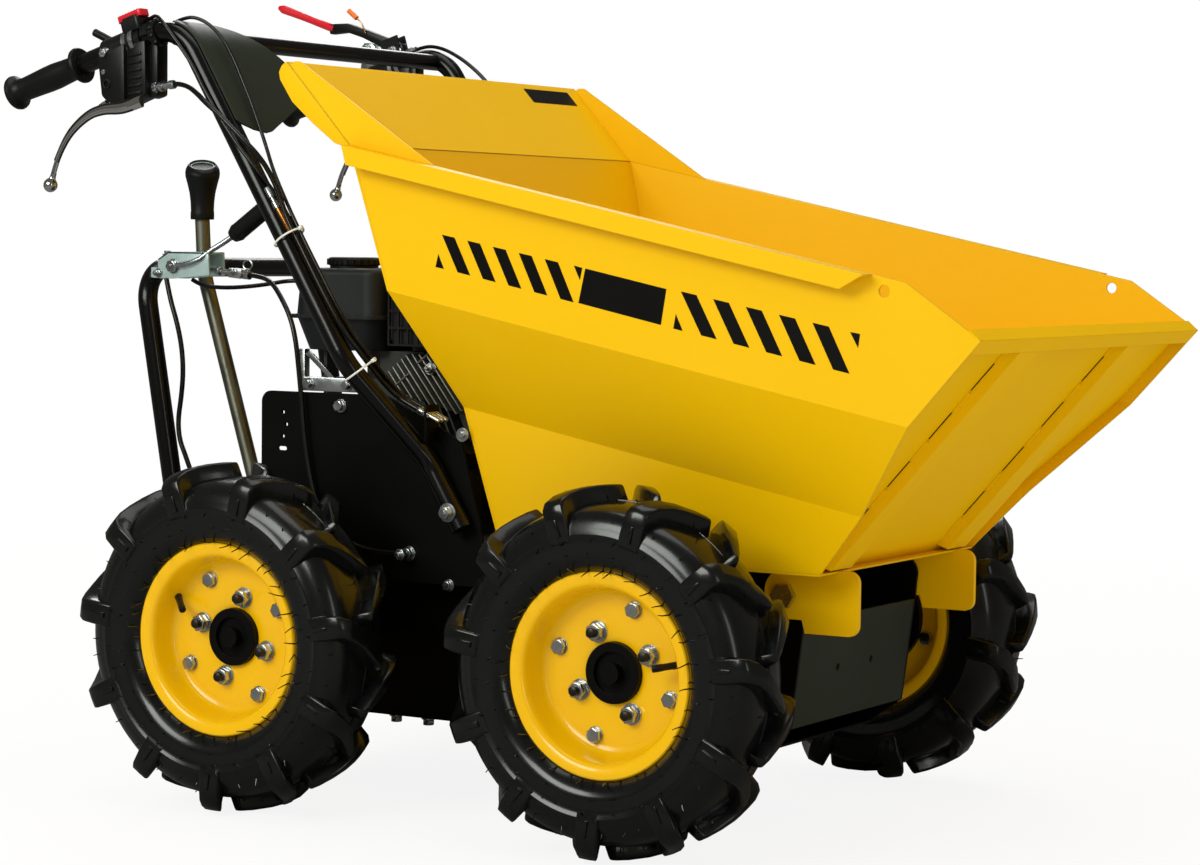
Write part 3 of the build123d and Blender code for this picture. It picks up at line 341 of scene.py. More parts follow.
tank_plastic = finish("tank_plastic", (15, 22, 25), 0.45, grain=1400, bump=0.3, mottle=0.06, edge=1.5)
red_plastic = finish("red_plastic", (205, 10, 34), 0.3, coat=0.3, grain=900, bump=0.05, edge=0.6)
orange_plastic = finish("orange_plastic", (236, 112, 10), 0.35, grain=900, bump=0.05)
tie_white = finish("tie_white", (228, 228, 222), 0.4, grain=900, bump=0.05)
PLATING = {"grain": 300, "bump": 0.12, "patch": 60, "spread": 0.1, "edge": 0.3}
zinc = finish("zinc", (198, 203, 206), 0.28, metallic=1.0, mottle=0.12, **PLATING)
plated = finish("plated", (172, 196, 197), 0.36, metallic=0.35, mottle=0.14, **PLATING)
steel_rod = finish("steel_rod", (132, 132, 118), 0.4, metallic=1.0, grain=200, bump=0.2, mottle=0.25,
                   patch=40, spread=0.12, stretch=(1, 1, 0.2))
chrome = finish("chrome", (226, 227, 228), 0.08, metallic=1.0, grain=60, bump=0.02, spread=0.03)
brass = finish("brass", (190, 130, 70), 0.3, metallic=1.0, grain=300, bump=0.1)
dark_steel = finish("dark_steel", (60, 57, 53), 0.4, metallic=0.9, grain=500, bump=0.2, mottle=0.2)
cast_alloy = finish("cast_alloy", (74, 76, 74), 0.5, metallic=0.7, grain=600, bump=0.5, mottle=0.12,
                    edge=0.6)
fin_alloy = finish("fin_alloy", (156, 158, 154), 0.42, metallic=0.85, grain=600, bump=0.4, mottle=0.12,
                   edge=0.4)

SLOT_FINISH = {
    "frame_black": frame_paint, "plate_grey": grey_paint, "skip_yellow": skip_paint,
    "rim_yellow": rim_paint, "tyre_black": tyre_rubber, "rubber_black": grip_rubber,
    "plastic_black": moulded, "plastic_red": red_plastic, "engine_metal": cast_alloy,
    "engine_black": tank_plastic, "zinc": zinc, "chrome": chrome, "cable_black": sheath,
}
# the part's own nodes
for part in frame["record"]["subparts"]:
    node = frame["nodes"][part["node"]]
    node.data.materials.clear()
    node.data.materials.append(SLOT_FINISH[part["material_slot"]])
for name, material in (("skip_front", front_paint), ("handlebar", black_paint), ("rear_hoop", black_paint),
                       ("gear_lever", steel_rod), ("exhaust_guard", dark_steel), ("clutch_bracket", moulded)):
    frame["nodes"][name].data.materials[0] = material


# ---- camera, light and floor
# The camera stands in metres and looks level and forward before it is turned.
CAMERA_PLACE, LENS, SENSOR = (1.9921, -3.24997, 0.68287), 92.04, 36.0
AZIMUTH, ELEVATION, ROLL = radians(31.08), radians(3.4628), radians(0.6768)

camera_data = bpy.data.cameras.new("camera")
camera_data.lens = LENS
camera_data.sensor_width = SENSOR
camera_data.clip_start = 0.1
camera_data.clip_end = 100
camera = place("camera", camera_data)
camera.matrix_world = (Matrix.Translation(CAMERA_PLACE) @ Matrix.Rotation(AZIMUTH, 4, "Z")
                       @ Matrix.Rotation(pi / 2 - ELEVATION, 4, "X") @ Matrix.Rotation(ROLL, 4, "Z"))
scene.camera = camera
scene.view_settings.view_transform = "Standard"


def lamp(name, where, target, size, power, color=(1, 1, 1)):
    """A soft square lamp aimed at a point, both in metres."""
    data = bpy.data.lights.new(name, "AREA")
    data.shape = "RECTANGLE"
    data.size, data.size_y = size
    data.energy = power
    data.color = color
    made = place(name, data)
    made.location = where
    made.rotation_euler = (Vector(target) - Vector(where)).to_track_quat("-Z", "Y").to_euler()


lamp("key", (-0.8, -3.9, 2.5), (0, 0, 0.45), (2.6, 1.6), 96, (0.97, 1, 0.93))
lamp("side", (3.4, -2.6, 1.3), (0, 0, 0.4), (0.4, 2.0), 8)
lamp("back", (-2.5, 3.2, 3.0), (0, 0, 0.6), (2.4, 1.6), 50)
lamp("top", (0.2, 0.2, 4.2), (0, 0, 0.5), (3.0, 3.0), 50)

WHITE = (1, 1, 1, 1)
ROOM_COLOR, ROOM_LIGHT, ROOM_MIRRORED = (1, 0.93, 0.8, 1), 0.62, 0.12
FLOOR_GREY, FLOOR_MIRRORED = (0.86, 0.86, 0.85, 1), (0.16, 0.16, 0.16, 1)
FLOOR_NEAR, FLOOR_FAR = 0.8, 4.0  # metres over which the floor turns into the backdrop
FLOOR_GLOW = 0.88  # share of white in the floor beside the machine


def studio_world():
    """White behind the machine. The room that shiny surfaces mirror is darker than its light."""
    world = bpy.data.worlds.new("studio")
    scene.world = world
    world.use_nodes = True
    tree = world.node_tree
    tree.nodes.clear()
    path = add(tree, "LightPath")
    backdrop = add(tree, "Background", WHITE, 1.0)
    dimmed = add(tree, "MapRange", (path, "Is Glossy Ray"), To_Min=ROOM_LIGHT, To_Max=ROOM_MIRRORED)
    ambient = add(tree, "Background", ROOM_COLOR, (dimmed, "Result"))
    seen = add(tree, "Math", (path, "Is Camera Ray"), (path, "Is Transmission Ray"))
    seen.operation = "MAXIMUM"
    mixed = add(tree, "MixShader", (seen, 0), (ambient, 0), (backdrop, 0))
    add(tree, "OutputWorld", (mixed, 0))


def floor_finish():
    """Pale floor that turns into the white backdrop and is mirrored darker than it is."""
    mat = bpy.data.materials.new("floor_paint")
    mat.use_nodes = True
    tree = mat.node_tree
    tree.nodes.clear()
    path = add(tree, "LightPath")
    matt = add(tree, "BsdfDiffuse", FLOOR_GREY)
    dark = add(tree, "BsdfDiffuse", FLOOR_MIRRORED)
    mirrored = add(tree, "MixShader", (path, "Is Glossy Ray"), (matt, 0), (dark, 0))
    away = add(tree, "VectorMath", (add(tree, "TexCoord"), "Object"))
    away.operation = "LENGTH"
    fade = add(tree, "MapRange", (away, "Value"), From_Min=FLOOR_NEAR, From_Max=FLOOR_FAR,
               To_Min=FLOOR_GLOW, To_Max=1.0)
    share = add(tree, "Math", (path, "Is Camera Ray"), (fade, "Result"))
    share.operation = "MULTIPLY"
    glow = add(tree, "Emission", WHITE, 1.0)
    mixed = add(tree, "MixShader", (share, 0), (mirrored, 0), (glow, 0))
    add(tree, "OutputMaterial", (mixed, 0))
    return mat


studio_world()
bm = bmesh.new()
bmesh.ops.create_grid(bm, x_segments=1, y_segments=1, size=30)
floor_mesh = bpy.data.meshes.new("floor")
bm.to_mesh(floor_mesh)
bm.free()
floor_mesh.materials.append(floor_finish())
floor = place("floor", floor_mesh)
floor.location.z = -0.0005


# ---- wheels
# A wheel is made in its own frame, as the right-hand one: x and y in its plane as seen from
# outside (x forward, y up), z outward from the mid-plane.
TYRE_STEPS, RIM_STEPS = 156, 112
LUGS = 11
LUG_PITCH = 360 / LUGS
# a lug from the crown to the foot: offset and radius of its top, and on the carcass, then its way
# forward and half its width
LUG = [
    (-9, 209.6, -9, 189, 52, 5), (0, 210, 0, 189.5, 43, 8), (14, 209.8, 14, 189, 28, 10.5),
    (28, 208.6, 28, 187, 15, 11.5), (42, 205.2, 38, 183, 6, 12.2), (54, 199, 46, 177, 1, 12.5),
    (58.5, 192, 49, 171, 0, 12.8), (59, 178, 50.5, 163, 0, 13), (58.5, 163, 51.5, 155, 0, 12.7),
    (57, 153, 51.5, 149, 0, 12)]
# the carcass from the crown to the bead
CARCASS = [(0, 193.6), (0.9, 193.4), (1.2, 192.4), (16, 192), (28, 190.4), (38, 187), (45.5, 181.5),
           (51, 174), (54.6, 165), (55.4, 158.6), (56.6, 157.2), (56.4, 155.6), (54.6, 153.6), (54, 148),
           (53.2, 141), (53.4, 136.5), (52.2, 131), (49, 125.5), (45, 121), (41.5, 118), (37.5, 115),
           (34, 113)]


def wheel_point(radius, angle, out):
    """A point of the wheel at a clockwise angle from the top, in radians."""
    return Vector((radius * sin(angle), radius * cos(angle), out))


def lug_mesh():
    """One bar of the tread, with a raised wedge on the outer face of its foot."""
    rows = []
    for top_y, top_r, base_y, base_r, shift, half in LUG:
        row = []
        for v, share in ((-half - 2.6, 0), (-half - 0.6, 0.84), (-half + 0.3, 0.955), (-half + 1.6, 1),
                         (0, 1.004), (half - 1.6, 1), (half - 0.3, 0.955), (half + 0.6, 0.84),
                         (half + 2.6, 0)):
            y = base_y + (top_y - base_y) * share
            r = base_r + (top_r - base_r) * share
            row.append(wheel_point(r, (shift + v) / r, y))
        rows.append(row)
    # the end past the crown slopes down into the carcass
    middle = rows[0][0].lerp(rows[0][-1], 0.5)
    end = []
    for k, p in enumerate(rows[0]):
        p = p.lerp(middle, 0.12)
        end.append(wheel_point(188 + 2 * min(k, len(rows[0]) - 1 - k), atan2(p.x, p.y), -14))
    bm = bmesh.new()
    grid(bm, [end] + rows, closed_columns=True, caps=True)
    outward(bm)
    bmesh.ops.bevel(bm, geom=[e for e in bm.edges if e.calc_face_angle(0) > radians(50)], offset=1.4,
                    segments=2, profile=0.5, affect="EDGES", clamp_overlap=True)
    return prism([(-3.5, 158), (3.5, 158), (2.2, 178), (-1.2, 178)], 3, moved(0, 0, 57.6), 0.8, bm)


def tyre_mesh():
    """Carcass with a fine ring at the lugs' feet, and the bars of the tread on both sides."""
    section = CARCASS + [(-y, r) for y, r in reversed(CARCASS[1:])]
    rows = [[wheel_point(r, 2 * pi * k / TYRE_STEPS, y) for y, r in section] for k in range(TYRE_STEPS)]
    bm = bmesh.new()
    grid(bm, rows, closed_rows=True)
    outward(bm)
    lug = lug_mesh()
    for side, start in ((1, 0), (-1, LUG_PITCH / 2)):
        for k in range(LUGS):
            turn = radians(start + k * LUG_PITCH)
            join(bm, lug, Matrix.Rotation(-turn, 4, "Z") @ Matrix.Diagonal((1, 1, side, 1)))
    lug.free()
    return bm


# rings of hairs, as (radius, offset, count), with the long ones beside the rim
HAIR_RINGS = ((117, 42, 42), (135, 55, 26), (150, 55.5, 26), (172, 53, 39), (194, 12, 39))
BESIDE_RIM, SIDEWALL = 120, 160  # radii up to which hairs are long, and stand straight out


def hairs_mesh(seed):
    """Moulding hairs left on the shoulder and beside the rim."""
    rng = random.Random(seed)
    bm = bmesh.new()
    for radius, out, count in HAIR_RINGS:
        for k in range(count):
            angle = 2 * pi * (k + rng.uniform(-0.3, 0.3)) / count
            foot = wheel_point(radius, angle, out - 3)
            lean = Vector((rng.uniform(-1, 1), rng.uniform(-1, 1), 0)) * 0.35
            away = (Vector((0, 0, 1)) if radius < SIDEWALL else wheel_point(1, angle, 0.5)) + lean
            length = rng.uniform(14, 23) if radius < BESIDE_RIM else rng.uniform(4, 9)
            bend = Vector((rng.uniform(-1, 1), rng.uniform(-1, 1), 0)) * 1.5
            tube([foot, foot + away * length * 0.6, foot + away * length + bend],
                 lambda t: 0.95 - 0.45 * t, 5, bm)
    return bm


RIM_PROFILE = [  # (radius, offset), from behind the outer flange to the disc
    (98, 12), (99.5, 24), (104, 31), (112, 34), (115.6, 36.5), (115.8, 39.2), (114.2, 40.9),
    (111.5, 41), (104.5, 39.2), (101.4, 37.6), (99.2, 34.6), (97.4, 29.5), (95.8, 22), (93.6, 12),
    (91, 6.6), (87.6, 4), (84.2, 3.3), (82.6, 2.6), (80.8, 2.5), (36.6, 2.5), (34.9, 1.8), (34.6, -2.4)]


def rim_mesh():
    bm = lathe(RIM_PROFILE, RIM_STEPS)
    inner = [(r, -y) for r, y in RIM_PROFILE[:14]] + [(93, -7), (84, -3.2), (80, -2.5), (34.6, -2.4)]
    lathe(inner, RIM_STEPS, None, bm)
    lathe([(98, 12), (98, -12)], RIM_STEPS, None, bm)
    bmesh.ops.remove_doubles(bm, verts=bm.verts, dist=1e-3)
    return outward(bm)


def ring_of(bm, radius, first, out, **head):
    """Four heads or nuts on a bolt circle. first is the angle in degrees from forward towards up."""
    for k in range(4):
        a = radians(first + 90 * k)
        spin = Matrix.Rotation(a * 2.3 + k, 4, "Z")
        hex_head(bm, moved(radius * cos(a), radius * sin(a), out) @ spin, **head)


NUT_CIRCLE, SPLIT_CIRCLE = 50, 76
DISC_FACE = 2.5  # outer face of the rim's disc
VALVE_FOOT, VALVE_TIP = (97, 6), (65, 31)  # (radius, offset)
WHEELS = {  # axle x, then in degrees: turn of the tyre, first nut, first split-rim bolt, valve
    "front": (FRONT_AXLE, 17.3, 27, 71.5, 11),
    "rear": (REAR_AXLE, 15.4, 74, 29, 152),
}


def dress_wheel(end, name):
    axle_x, turn, nuts, splits, valve = WHEELS[end]
    corner = f"{end}_{name}"
    body = f"wheel_{corner}"
    placed = (flipped(SIDES[name]) @ moved(axle_x, -TRACK / 2, AXLE_HEIGHT)
              @ Matrix.Rotation(pi / 2, 4, "X"))
    piece(f"tread_{corner}", tyre_mesh(), "tyre_black", 38, body, replaces=f"tyre_{corner}",
          placed=placed @ Matrix.Rotation(-radians(turn), 4, "Z"))
    piece(f"tyre_hairs_{corner}", hairs_mesh(corner), "tyre_black", 60, body, placed=placed)
    piece(f"disc_{corner}", rim_mesh(), "rim_yellow", 40, body, placed=placed, replaces=f"rim_{corner}")

    bm = bmesh.new()
    ring_of(bm, NUT_CIRCLE, nuts, DISC_FACE, across=18, height=10, washer=25, washer_height=2)
    ring_of(bm, SPLIT_CIRCLE, splits, DISC_FACE, across=16, height=6, washer=20)
    ring_of(bm, SPLIT_CIRCLE, splits, -DISC_FACE - 9, across=16, height=8)
    piece(f"wheel_nuts_{corner}", bm, "zinc", body=body, placed=placed)
    bm = bmesh.new()
    for x, y in circle(NUT_CIRCLE, 4, radians(nuts)):
        solid([(3.6, 19), (5.4, 18), (5.8, 17), (5.8, 8)], 20, moved(x, y, DISC_FACE), bm)
    piece(f"wheel_studs_{corner}", bm, "frame_black", body=body, material=dark_steel, placed=placed)

    a = radians(valve)
    foot, tip = (Vector((r * cos(a), r * sin(a), out)) for r, out in (VALVE_FOOT, VALVE_TIP))
    reach = (tip - foot).length
    bm = solid([(7, -4), (7, 1), (5, 5), (4.2, 9), (3.9, reach - 12), (4.3, reach - 11.5),
                (4.3, reach - 1), (3.6, reach)], 20, aim(foot, tip - foot))
    piece(f"valve_{corner}", bm, "rubber_black", 40, body, placed=placed)


for name in SIDES:
    for end in WHEELS:
        dress_wheel(end, name)

# ---- skip
# Places on the upper side panel: u along the rim from the point at x = 0, v down the panel. Its
# upper and lower edges are lines of slope, height and half width at x = 0.
RIM_SLOPE, RIM_Z, RIM_Y = -0.2074, 773.4, 322
FOLD_SLOPE, FOLD_Z, FOLD_Y, FOLD_SPREAD = -0.1954, 614.5, 309.2, 0.0162
RIM_LINE = Vector((1, 0, RIM_SLOPE)).normalized()
PANEL_DOWN = Vector((0, 8.7, -156)).normalized()
PANEL_DOWN = (PANEL_DOWN - RIM_LINE * PANEL_DOWN.dot(RIM_LINE)).normalized()
FILM_OUT, FILM_IN = 0.25, -0.3  # a sticker's faces, from the panel's outer face


def on_panel(u, v, proud):
    """A point of the right side's upper panel, raised from its outer face."""
    spot = Vector((0, -RIM_Y, RIM_Z)) + RIM_LINE * u + PANEL_DOWN * v
    rim_z, fold_z = RIM_Z + RIM_SLOPE * spot.x, FOLD_Z + FOLD_SLOPE * spot.x
    share = (rim_z - spot.z) / (rim_z - fold_z)
    half = RIM_Y + (FOLD_Y + FOLD_SPREAD * spot.x - RIM_Y) * share
    return Vector((spot.x, -half - proud, spot.z))


def sticker(bm, corners, columns=1):
    """A thin film of three or four corners, from the first edge to the last."""
    if len(corners) == 3:
        rows = [[on_panel(*c, proud) for c in corners] for proud in (FILM_OUT, FILM_IN)]
    else:
        a, b, c, d = (Vector(q) for q in corners)
        rows = []
        for k in range(columns + 1):
            top, low = a.lerp(b, k / columns), d.lerp(c, k / columns)
            rows.append([on_panel(*top, FILM_OUT), on_panel(*low, FILM_OUT), on_panel(*low, FILM_IN),
                         on_panel(*top, FILM_IN)])
    grid(bm, rows, closed_columns=True, caps=True)


def stripes_mesh():
    """Two groups of slanted stripes with a blank plate between them."""
    bm = bmesh.new()
    for first, pitch, width, slant in ((24, 35.8, 17.8, 28.6), (348, 41.5, 20, 34.5)):
        for k in range(5):
            u = first + pitch * k
            sticker(bm, [(top, 76 - 0.0195 * top) for top in (u, u + width)]
                    + [(low, 114 - 0.0085 * low) for low in (u + width + slant, u + slant)])
    # the cut stripes at both ends of each group
    for corners in (((22.5, 98.6), (21, 114.3), (33, 114)), ((206.5, 71.4), (218, 71.7), (217.2, 85.7)),
                    ((346.4, 95), (346.3, 111.5), (358.6, 111.4)),
                    ((560, 65.5), (572, 64.8), (572.8, 80))):
        sticker(bm, corners)
    sticker(bm, ((222, 71.4), (329.5, 70.7), (330, 111.3), (220, 111.5)), 6)
    return outward(bm)


for name, side in SIDES.items():
    piece(f"stripes_{name}", stripes_mesh(), "frame_black", 30, "skip", stripe_black, flipped(side))

# blank plate on the inner face of the splash guard
GUARD_FOOT, GUARD_TOP = Vector((-116.4, 0, 798.3)), Vector((-208.2, 0, 897))
PLATE_Y, PLATE_REACH = 238, 113  # its middle, and how far up the guard
guard_up = (GUARD_TOP - GUARD_FOOT).normalized()
guard_face = aim(GUARD_FOOT + guard_up * PLATE_REACH, (guard_up.z, 0, -guard_up.x), (0, 1, 0))
piece("guard_plate", prism(rounded(110, 25, 2), 0.5, guard_face @ moved(PLATE_Y, 0, -0.2)),
      "frame_black", 30, "skip", stripe_black)

# the gussets' sheets stand out behind the guard
SKIP_SHEET = 3
GUSSET_EDGE = [(GUARD_FOOT.x, GUARD_FOOT.z), (GUARD_TOP.x, GUARD_TOP.z), (-213.5, 896.4), (-219, 892.5),
               (-222.8, 885), (-221, 876), (-203, 849.5), (-173, 824), (-141, 800.6), (-129.6, 797.1)]
bm = bmesh.new()
for side in (-1, 1):
    prism(GUSSET_EDGE, -SKIP_SHEET, flipped(side) @ side_view(RIM_Y), 0.7, bm)
piece("gusset_edges", bm, "skip_yellow", 30, "skip")

# weld beads where the front's ribs meet the panel, and dark lines of painted shade in the gaps between those
# of one edge
LIP, FRONT_BASE = Vector((687, 0, 590)), Vector((444, 0, 318))
incline = (LIP - FRONT_BASE).normalized()
front_out = Vector((incline.z, 0, -incline.x))
PIVOT_PLATE_Y, RIB_WIDTH, RECESS = 157, 62, 14
STITCH, STITCH_PITCH, STITCH_STEPS = 28, 74, 14
FIRST_STITCH = {-1: 22, 1: 40}  # from the foot, on a rib's right and left edge
SEAM_GAP = 3  # between a bead and the seam


def beside_rib(rib_y, edge, along, proud):
    """A point beside a rib, along it from the foot and raised from the panel."""
    return (FRONT_BASE + incline * along - front_out * (RECESS - proud)
            + Vector((0, rib_y + edge, 0)))


welds, gap_shades = bmesh.new(), bmesh.new()
for rib_y in (-PIVOT_PLATE_Y, PIVOT_PLATE_Y):
    for edge, first in FIRST_STITCH.items():
        for k in range(5):
            start = first + STITCH_PITCH * k
            tube([beside_rib(rib_y, edge * RIB_WIDTH / 2, start + STITCH * j / STITCH_STEPS, 0.6)
                  for j in range(STITCH_STEPS + 1)], lambda t: 2.3 + 0.5 * sin(t * 40), 8, welds)
    # near-black lines along each rib's right edge between the stitches: painted shade in the gap between rib
    # and panel
    for k in range(4):
        start = FIRST_STITCH[-1] + STITCH_PITCH * k + STITCH + SEAM_GAP
        tube([beside_rib(rib_y, -RIB_WIDTH / 2 - 0.4, along, 0.4)
              for along in (start, start + STITCH_PITCH - STITCH - 2 * SEAM_GAP)], 0.8, 6, gap_shades)
piece("rib_welds", welds, "skip_yellow", 50, "skip", front_paint)
piece("rib_seam_shade", gap_shades, "frame_black", 50, "skip", stripe_black)

# ---- cables
# Each repeats the route of its node as the control points of one smooth curve, with its radius.
CABLES = {
    "cable_brake": (3.2, [
        (-426.4, -285, 874.2), (-408, -285.6, 877), (-385, -290, 873), (-364, -300, 864), (-343, -308, 851),
        (-322, -309, 837), (-304, -309, 822), (-287, -306, 806), (-272, -300, 790), (-260, -294, 772),
        (-247, -290.5, 747), (-235.5, -289, 714), (-214, -289, 680), (-192, -289, 644), (-171, -288, 610),
        (-151, -284, 577), (-136, -270, 551), (-129, -251, 528), (-120, -235, 509), (-107, -226.6, 496),
        (-85.3, -226, 486.7)]),
    "cable_throttle": (2.3, [
        (-443.9, -265, 946.2), (-431, -264.6, 951), (-415, -264, 957), (-397, -262, 959.5),
        (-376, -257, 949), (-359, -252, 930), (-345, -250, 906), (-332, -250.5, 881), (-317, -253, 855),
        (-302, -257, 828), (-287, -262, 801), (-271, -269, 772), (-250, -277, 743), (-228, -284, 713),
        (-207, -285.5, 680), (-184.5, -285, 644), (-164, -284, 610), (-144, -278, 577), (-129, -263, 549),
        (-123, -242, 526), (-115, -226, 508), (-105, -218, 495), (-85.2, -217.5, 486.6)]),
    "cable_stop": (2.3, [
        (-457.9, -285, 953), (-445, -287, 957.4), (-431, -294, 960), (-417, -300.6, 952),
        (-403, -301.5, 937), (-389, -301, 921), (-375, -301.5, 905), (-363, -301, 888), (-353, -301.5, 871),
        (-342, -301, 855), (-330, -301.5, 838), (-315, -301, 818), (-298, -299.6, 797), (-277, -296, 773),
        (-254.5, -287.5, 745), (-236, -281, 713), (-214, -280.6, 680), (-192, -281, 644), (-171, -280, 610),
        (-151, -274, 577), (-138, -256, 550), (-133, -236, 528), (-124, -219, 510), (-109, -209.6, 496.5),
        (-85.2, -209, 486.6)]),
    "cable_clutch": (2.6, [
        (-446, 291, 953.9), (-430, 290.6, 958.5), (-404, 287, 955), (-378, 283, 945), (-352, 281, 930),
        (-326, 281, 909), (-305, 283, 882), (-291, 284.5, 850), (-279, 285, 813), (-264, 285.5, 776),
        (-246, 285, 739), (-225, 285.4, 700), (-201, 285, 660), (-177, 284, 620), (-154, 278, 583),
        (-137, 263, 553), (-130, 243, 529), (-121, 228, 510), (-107, 218.3, 496), (-85.3, 217.5, 486.7)]),
    "cable_gear": (3.1, [
        (-381.7, -167, 642), (-360, -170, 640), (-336, -183, 633), (-311, -198, 616), (-290, -206.5, 592),
        (-279, -210, 564), (-274, -210.6, 530), (-269.5, -210, 489), (-265, -210.5, 447), (-259, -210, 411),
        (-251, -210.4, 379), (-236, -210, 350), (-212, -210.2, 327), (-182, -209.6, 314),
        (-150, -209.3, 310), (-118.3, -209.3, 310)]),
    "cable_lock": (3.2, [
        (-505, -182.5, 636.2), (-498, -184, 611), (-486, -185.4, 583), (-478, -185, 552),
        (-474.5, -185.6, 520), (-477, -186, 488), (-481, -188, 457), (-477, -190, 432), (-467, -190, 412),
        (-460, -187, 390), (-448, -178, 369), (-427, -163, 359), (-404, -147, 350), (-398, -142, 327)]),
    "cable_cross": (2.8, [
        (-488, -151.6, 635), (-477, -149, 628), (-454, -140, 625), (-430, -122, 626), (-409, -96, 630),
        (-394, -73, 635), (-369.6, -71, 635)]),
}


def held_cable(name, sheath_radius, points):
    curve = bpy.data.curves.new(name, "CURVE")
    curve.dimensions = "3D"
    curve.bevel_depth = sheath_radius * MM
    curve.bevel_resolution = 4
    curve.resolution_u = 6
    curve.use_fill_caps = True
    spline = curve.splines.new("NURBS")
    spline.points.add(len(points) - 1)
    for control, point in zip(spline.points, points):
        control.co = (*(Vector(point) * MM), 1)
    spline.order_u = 3
    spline.use_endpoint_u = True
    curve.materials.append(sheath)
    made = place(f"{name}_sheath", curve)
    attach(made, "chassis")
    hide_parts(name)


for name, (sheath_radius, points) in CABLES.items():
    held_cable(name, sheath_radius, points)

# ---- handlebar
HANDLE_Y = 285  # middle of a tube
TUBE_FIT = 12.7  # inner radius of what sits on a tube
GRIP_SLOPE, BEND_X, BEND_Z = 0.307, -401, 950
HANDLE_RAKE, BOLT_X, BOLT_Z = 0.617, -40, 365
REARWARD = Vector((-1, 0, -GRIP_SLOPE)).normalized()
TUBE_UP = Vector((-GRIP_SLOPE, 0, 1)).normalized()


def grip_z(x):
    return BEND_Z + GRIP_SLOPE * (x - BEND_X)


def on_grip(x, y=-HANDLE_Y):
    """Placement on a grip tube: z rearward along it, x up, y to the left."""
    return aim((x, y, grip_z(x)), REARWARD, TUBE_UP)


GRIP_END = -668
GRIP_PROFILE = [  # (radius, distance from the end), from the end's flange to the inner one
    (TUBE_FIT, 0), (19, 0), (21.4, 1.5), (22.2, 4), (21.4, 7), (18.4, 9.5), (15.6, 13), (14.6, 20),
    (15.2, 36), (16.3, 58), (16.5, 72), (15.4, 90), (14.8, 102), (15.4, 107), (18, 110), (21.5, 111.4),
    (22.6, 112.6), (23, 114.4), (22.6, 116), (21.4, 117.6), (13.2, 118), (TUBE_FIT, 116)]
bm = bmesh.new()
for side in (-1, 1):
    tail = aim((GRIP_END, side * HANDLE_Y, grip_z(GRIP_END)), -REARWARD, TUBE_UP)
    lathe(GRIP_PROFILE, 56, tail, bm)
    lathe([(AXIS, 1.2), (11, 1.2), (12.6, 2.4), (12.8, 4)], 40, tail, bm)
piece("grip_sleeves", bm, "rubber_black", replaces="grips")


def housing_mesh():
    """Moulded lever housing: a clamp round the tube and a body with raised ribs below it."""
    bm = bmesh.new()
    lathe([(12.6, 0), (16.6, 0), (17.2, 0.8), (17.2, 53), (16.6, 53.8), (12.6, 53.8)], 48,
          on_grip(-463), bm)
    prism([(-515, 905), (-509, 862), (-500, 854), (-483, 849), (-472, 853), (-473, 926), (-515, 914)],
          38, side_view(268), 3, bm)
    prism([(-474, 926), (-445, 930), (-443, 862), (-468, 853), (-475, 852)], 30, side_view(270), 3, bm)
    prism([(-446, 928), (-433, 930), (-433, 862), (-448, 858)], 22, side_view(268), 3, bm)
    for k in range(6):
        prism(rounded(21, 3.6, 1.6, 3), 3.2,
              side_spot(-460, 865 + 9.5 * k, 299) @ Matrix.Rotation(0.1, 4, "Z"), 0.7, bm)
    return lathe([(3.4, 0), (6.4, 0), (6.4, 1.6), (5.6, 2.4), (4, 2.4), (3.4, 1.6)], 28,
                 side_spot(-499.7, 876.4, 305.6), bm)


def housing_metal_mesh():
    """Bands, screws and the cable's adjuster on a lever housing."""
    bm = bmesh.new()
    for x in (-464, -474.5):
        lathe([(17, 0), (17.9, 0.4), (17.9, 6), (17, 6.4)], 48, on_grip(x), bm)
    hex_head(bm, side_spot(-504.6, 914.5, 302), 10, 6, washer=14, stud=(5, 2))
    solid([(3.4, 0), (3.4, 2.2), (2.6, 3)], 20, side_spot(-504.5, 891.3, 305.5), bm)
    solid([(3.6, 0), (3.6, 11), (2.8, 12)], 20, aim((-505, -HANDLE_Y - 14, 854), (-1, 0, -0.5)), bm)
    sleeve = aim((-441, -HANDLE_Y, 872), (1, 0, 0.12))
    lathe([(AXIS, 0), (7.2, 0), (7.8, 1), (7.8, 6), (7, 7), (4.6, 7), (4.6, 9), (6.6, 9.3), (6.6, 14),
           (4.4, 14.4), (4.4, 24), (5.6, 24.4), (5.6, 31), (4.6, 32), (3, 32)], 24, sleeve, bm)
    for x, y in circle(7.8, 12):
        box((1.6, 1.6, 6), (x, y, 3.6), 0.4, bm, sleeve, 1)
    return bm


for name, side in SIDES.items():
    piece(f"lever_housing_{name}", housing_mesh(), "plastic_black", placed=flipped(side),
          replaces="lever_housings" if side < 0 else None)
    piece(f"lever_housing_metal_{name}", housing_metal_mesh(), "zinc", placed=flipped(side))

# hand levers: a flat blade that narrows to a ball, with dark rods along its edges as painted dark reflections
# of the chrome
LEVER_Y, BALL_X, BALL_Z = 303, -593, 752
LEVER_LINE = [(-447, 855), (-476, 847), (-506, 845), (-532, 837), (-560, 816), (-580, 786),
              (BALL_X, BALL_Z)]
lever_line = smooth_path([(x, -LEVER_Y, z) for x, z in LEVER_LINE], 5)


def blade_half(t):
    """Half the blade's width at a share of its length."""
    return 8.2 - 4.4 * min(1, t * 1.3) + 0.8 * max(0, t - 0.8)


def blade_reflection_rod(sign):
    """A dark rod along one edge of the blade, on its outer face: a painted dark reflection on the chrome."""
    line = []
    for k in range(3, len(lever_line) - 6):
        half = blade_half(k / (len(lever_line) - 1))
        out = (lever_line[k + 1] - lever_line[k - 1]).normalized().cross(Vector((0, 1, 0)))
        line.append(lever_line[k] + out * (sign * (half - 0.7)) - Vector((0, 0.3 * half, 0)))
    return tube(line, 1.25, 8)


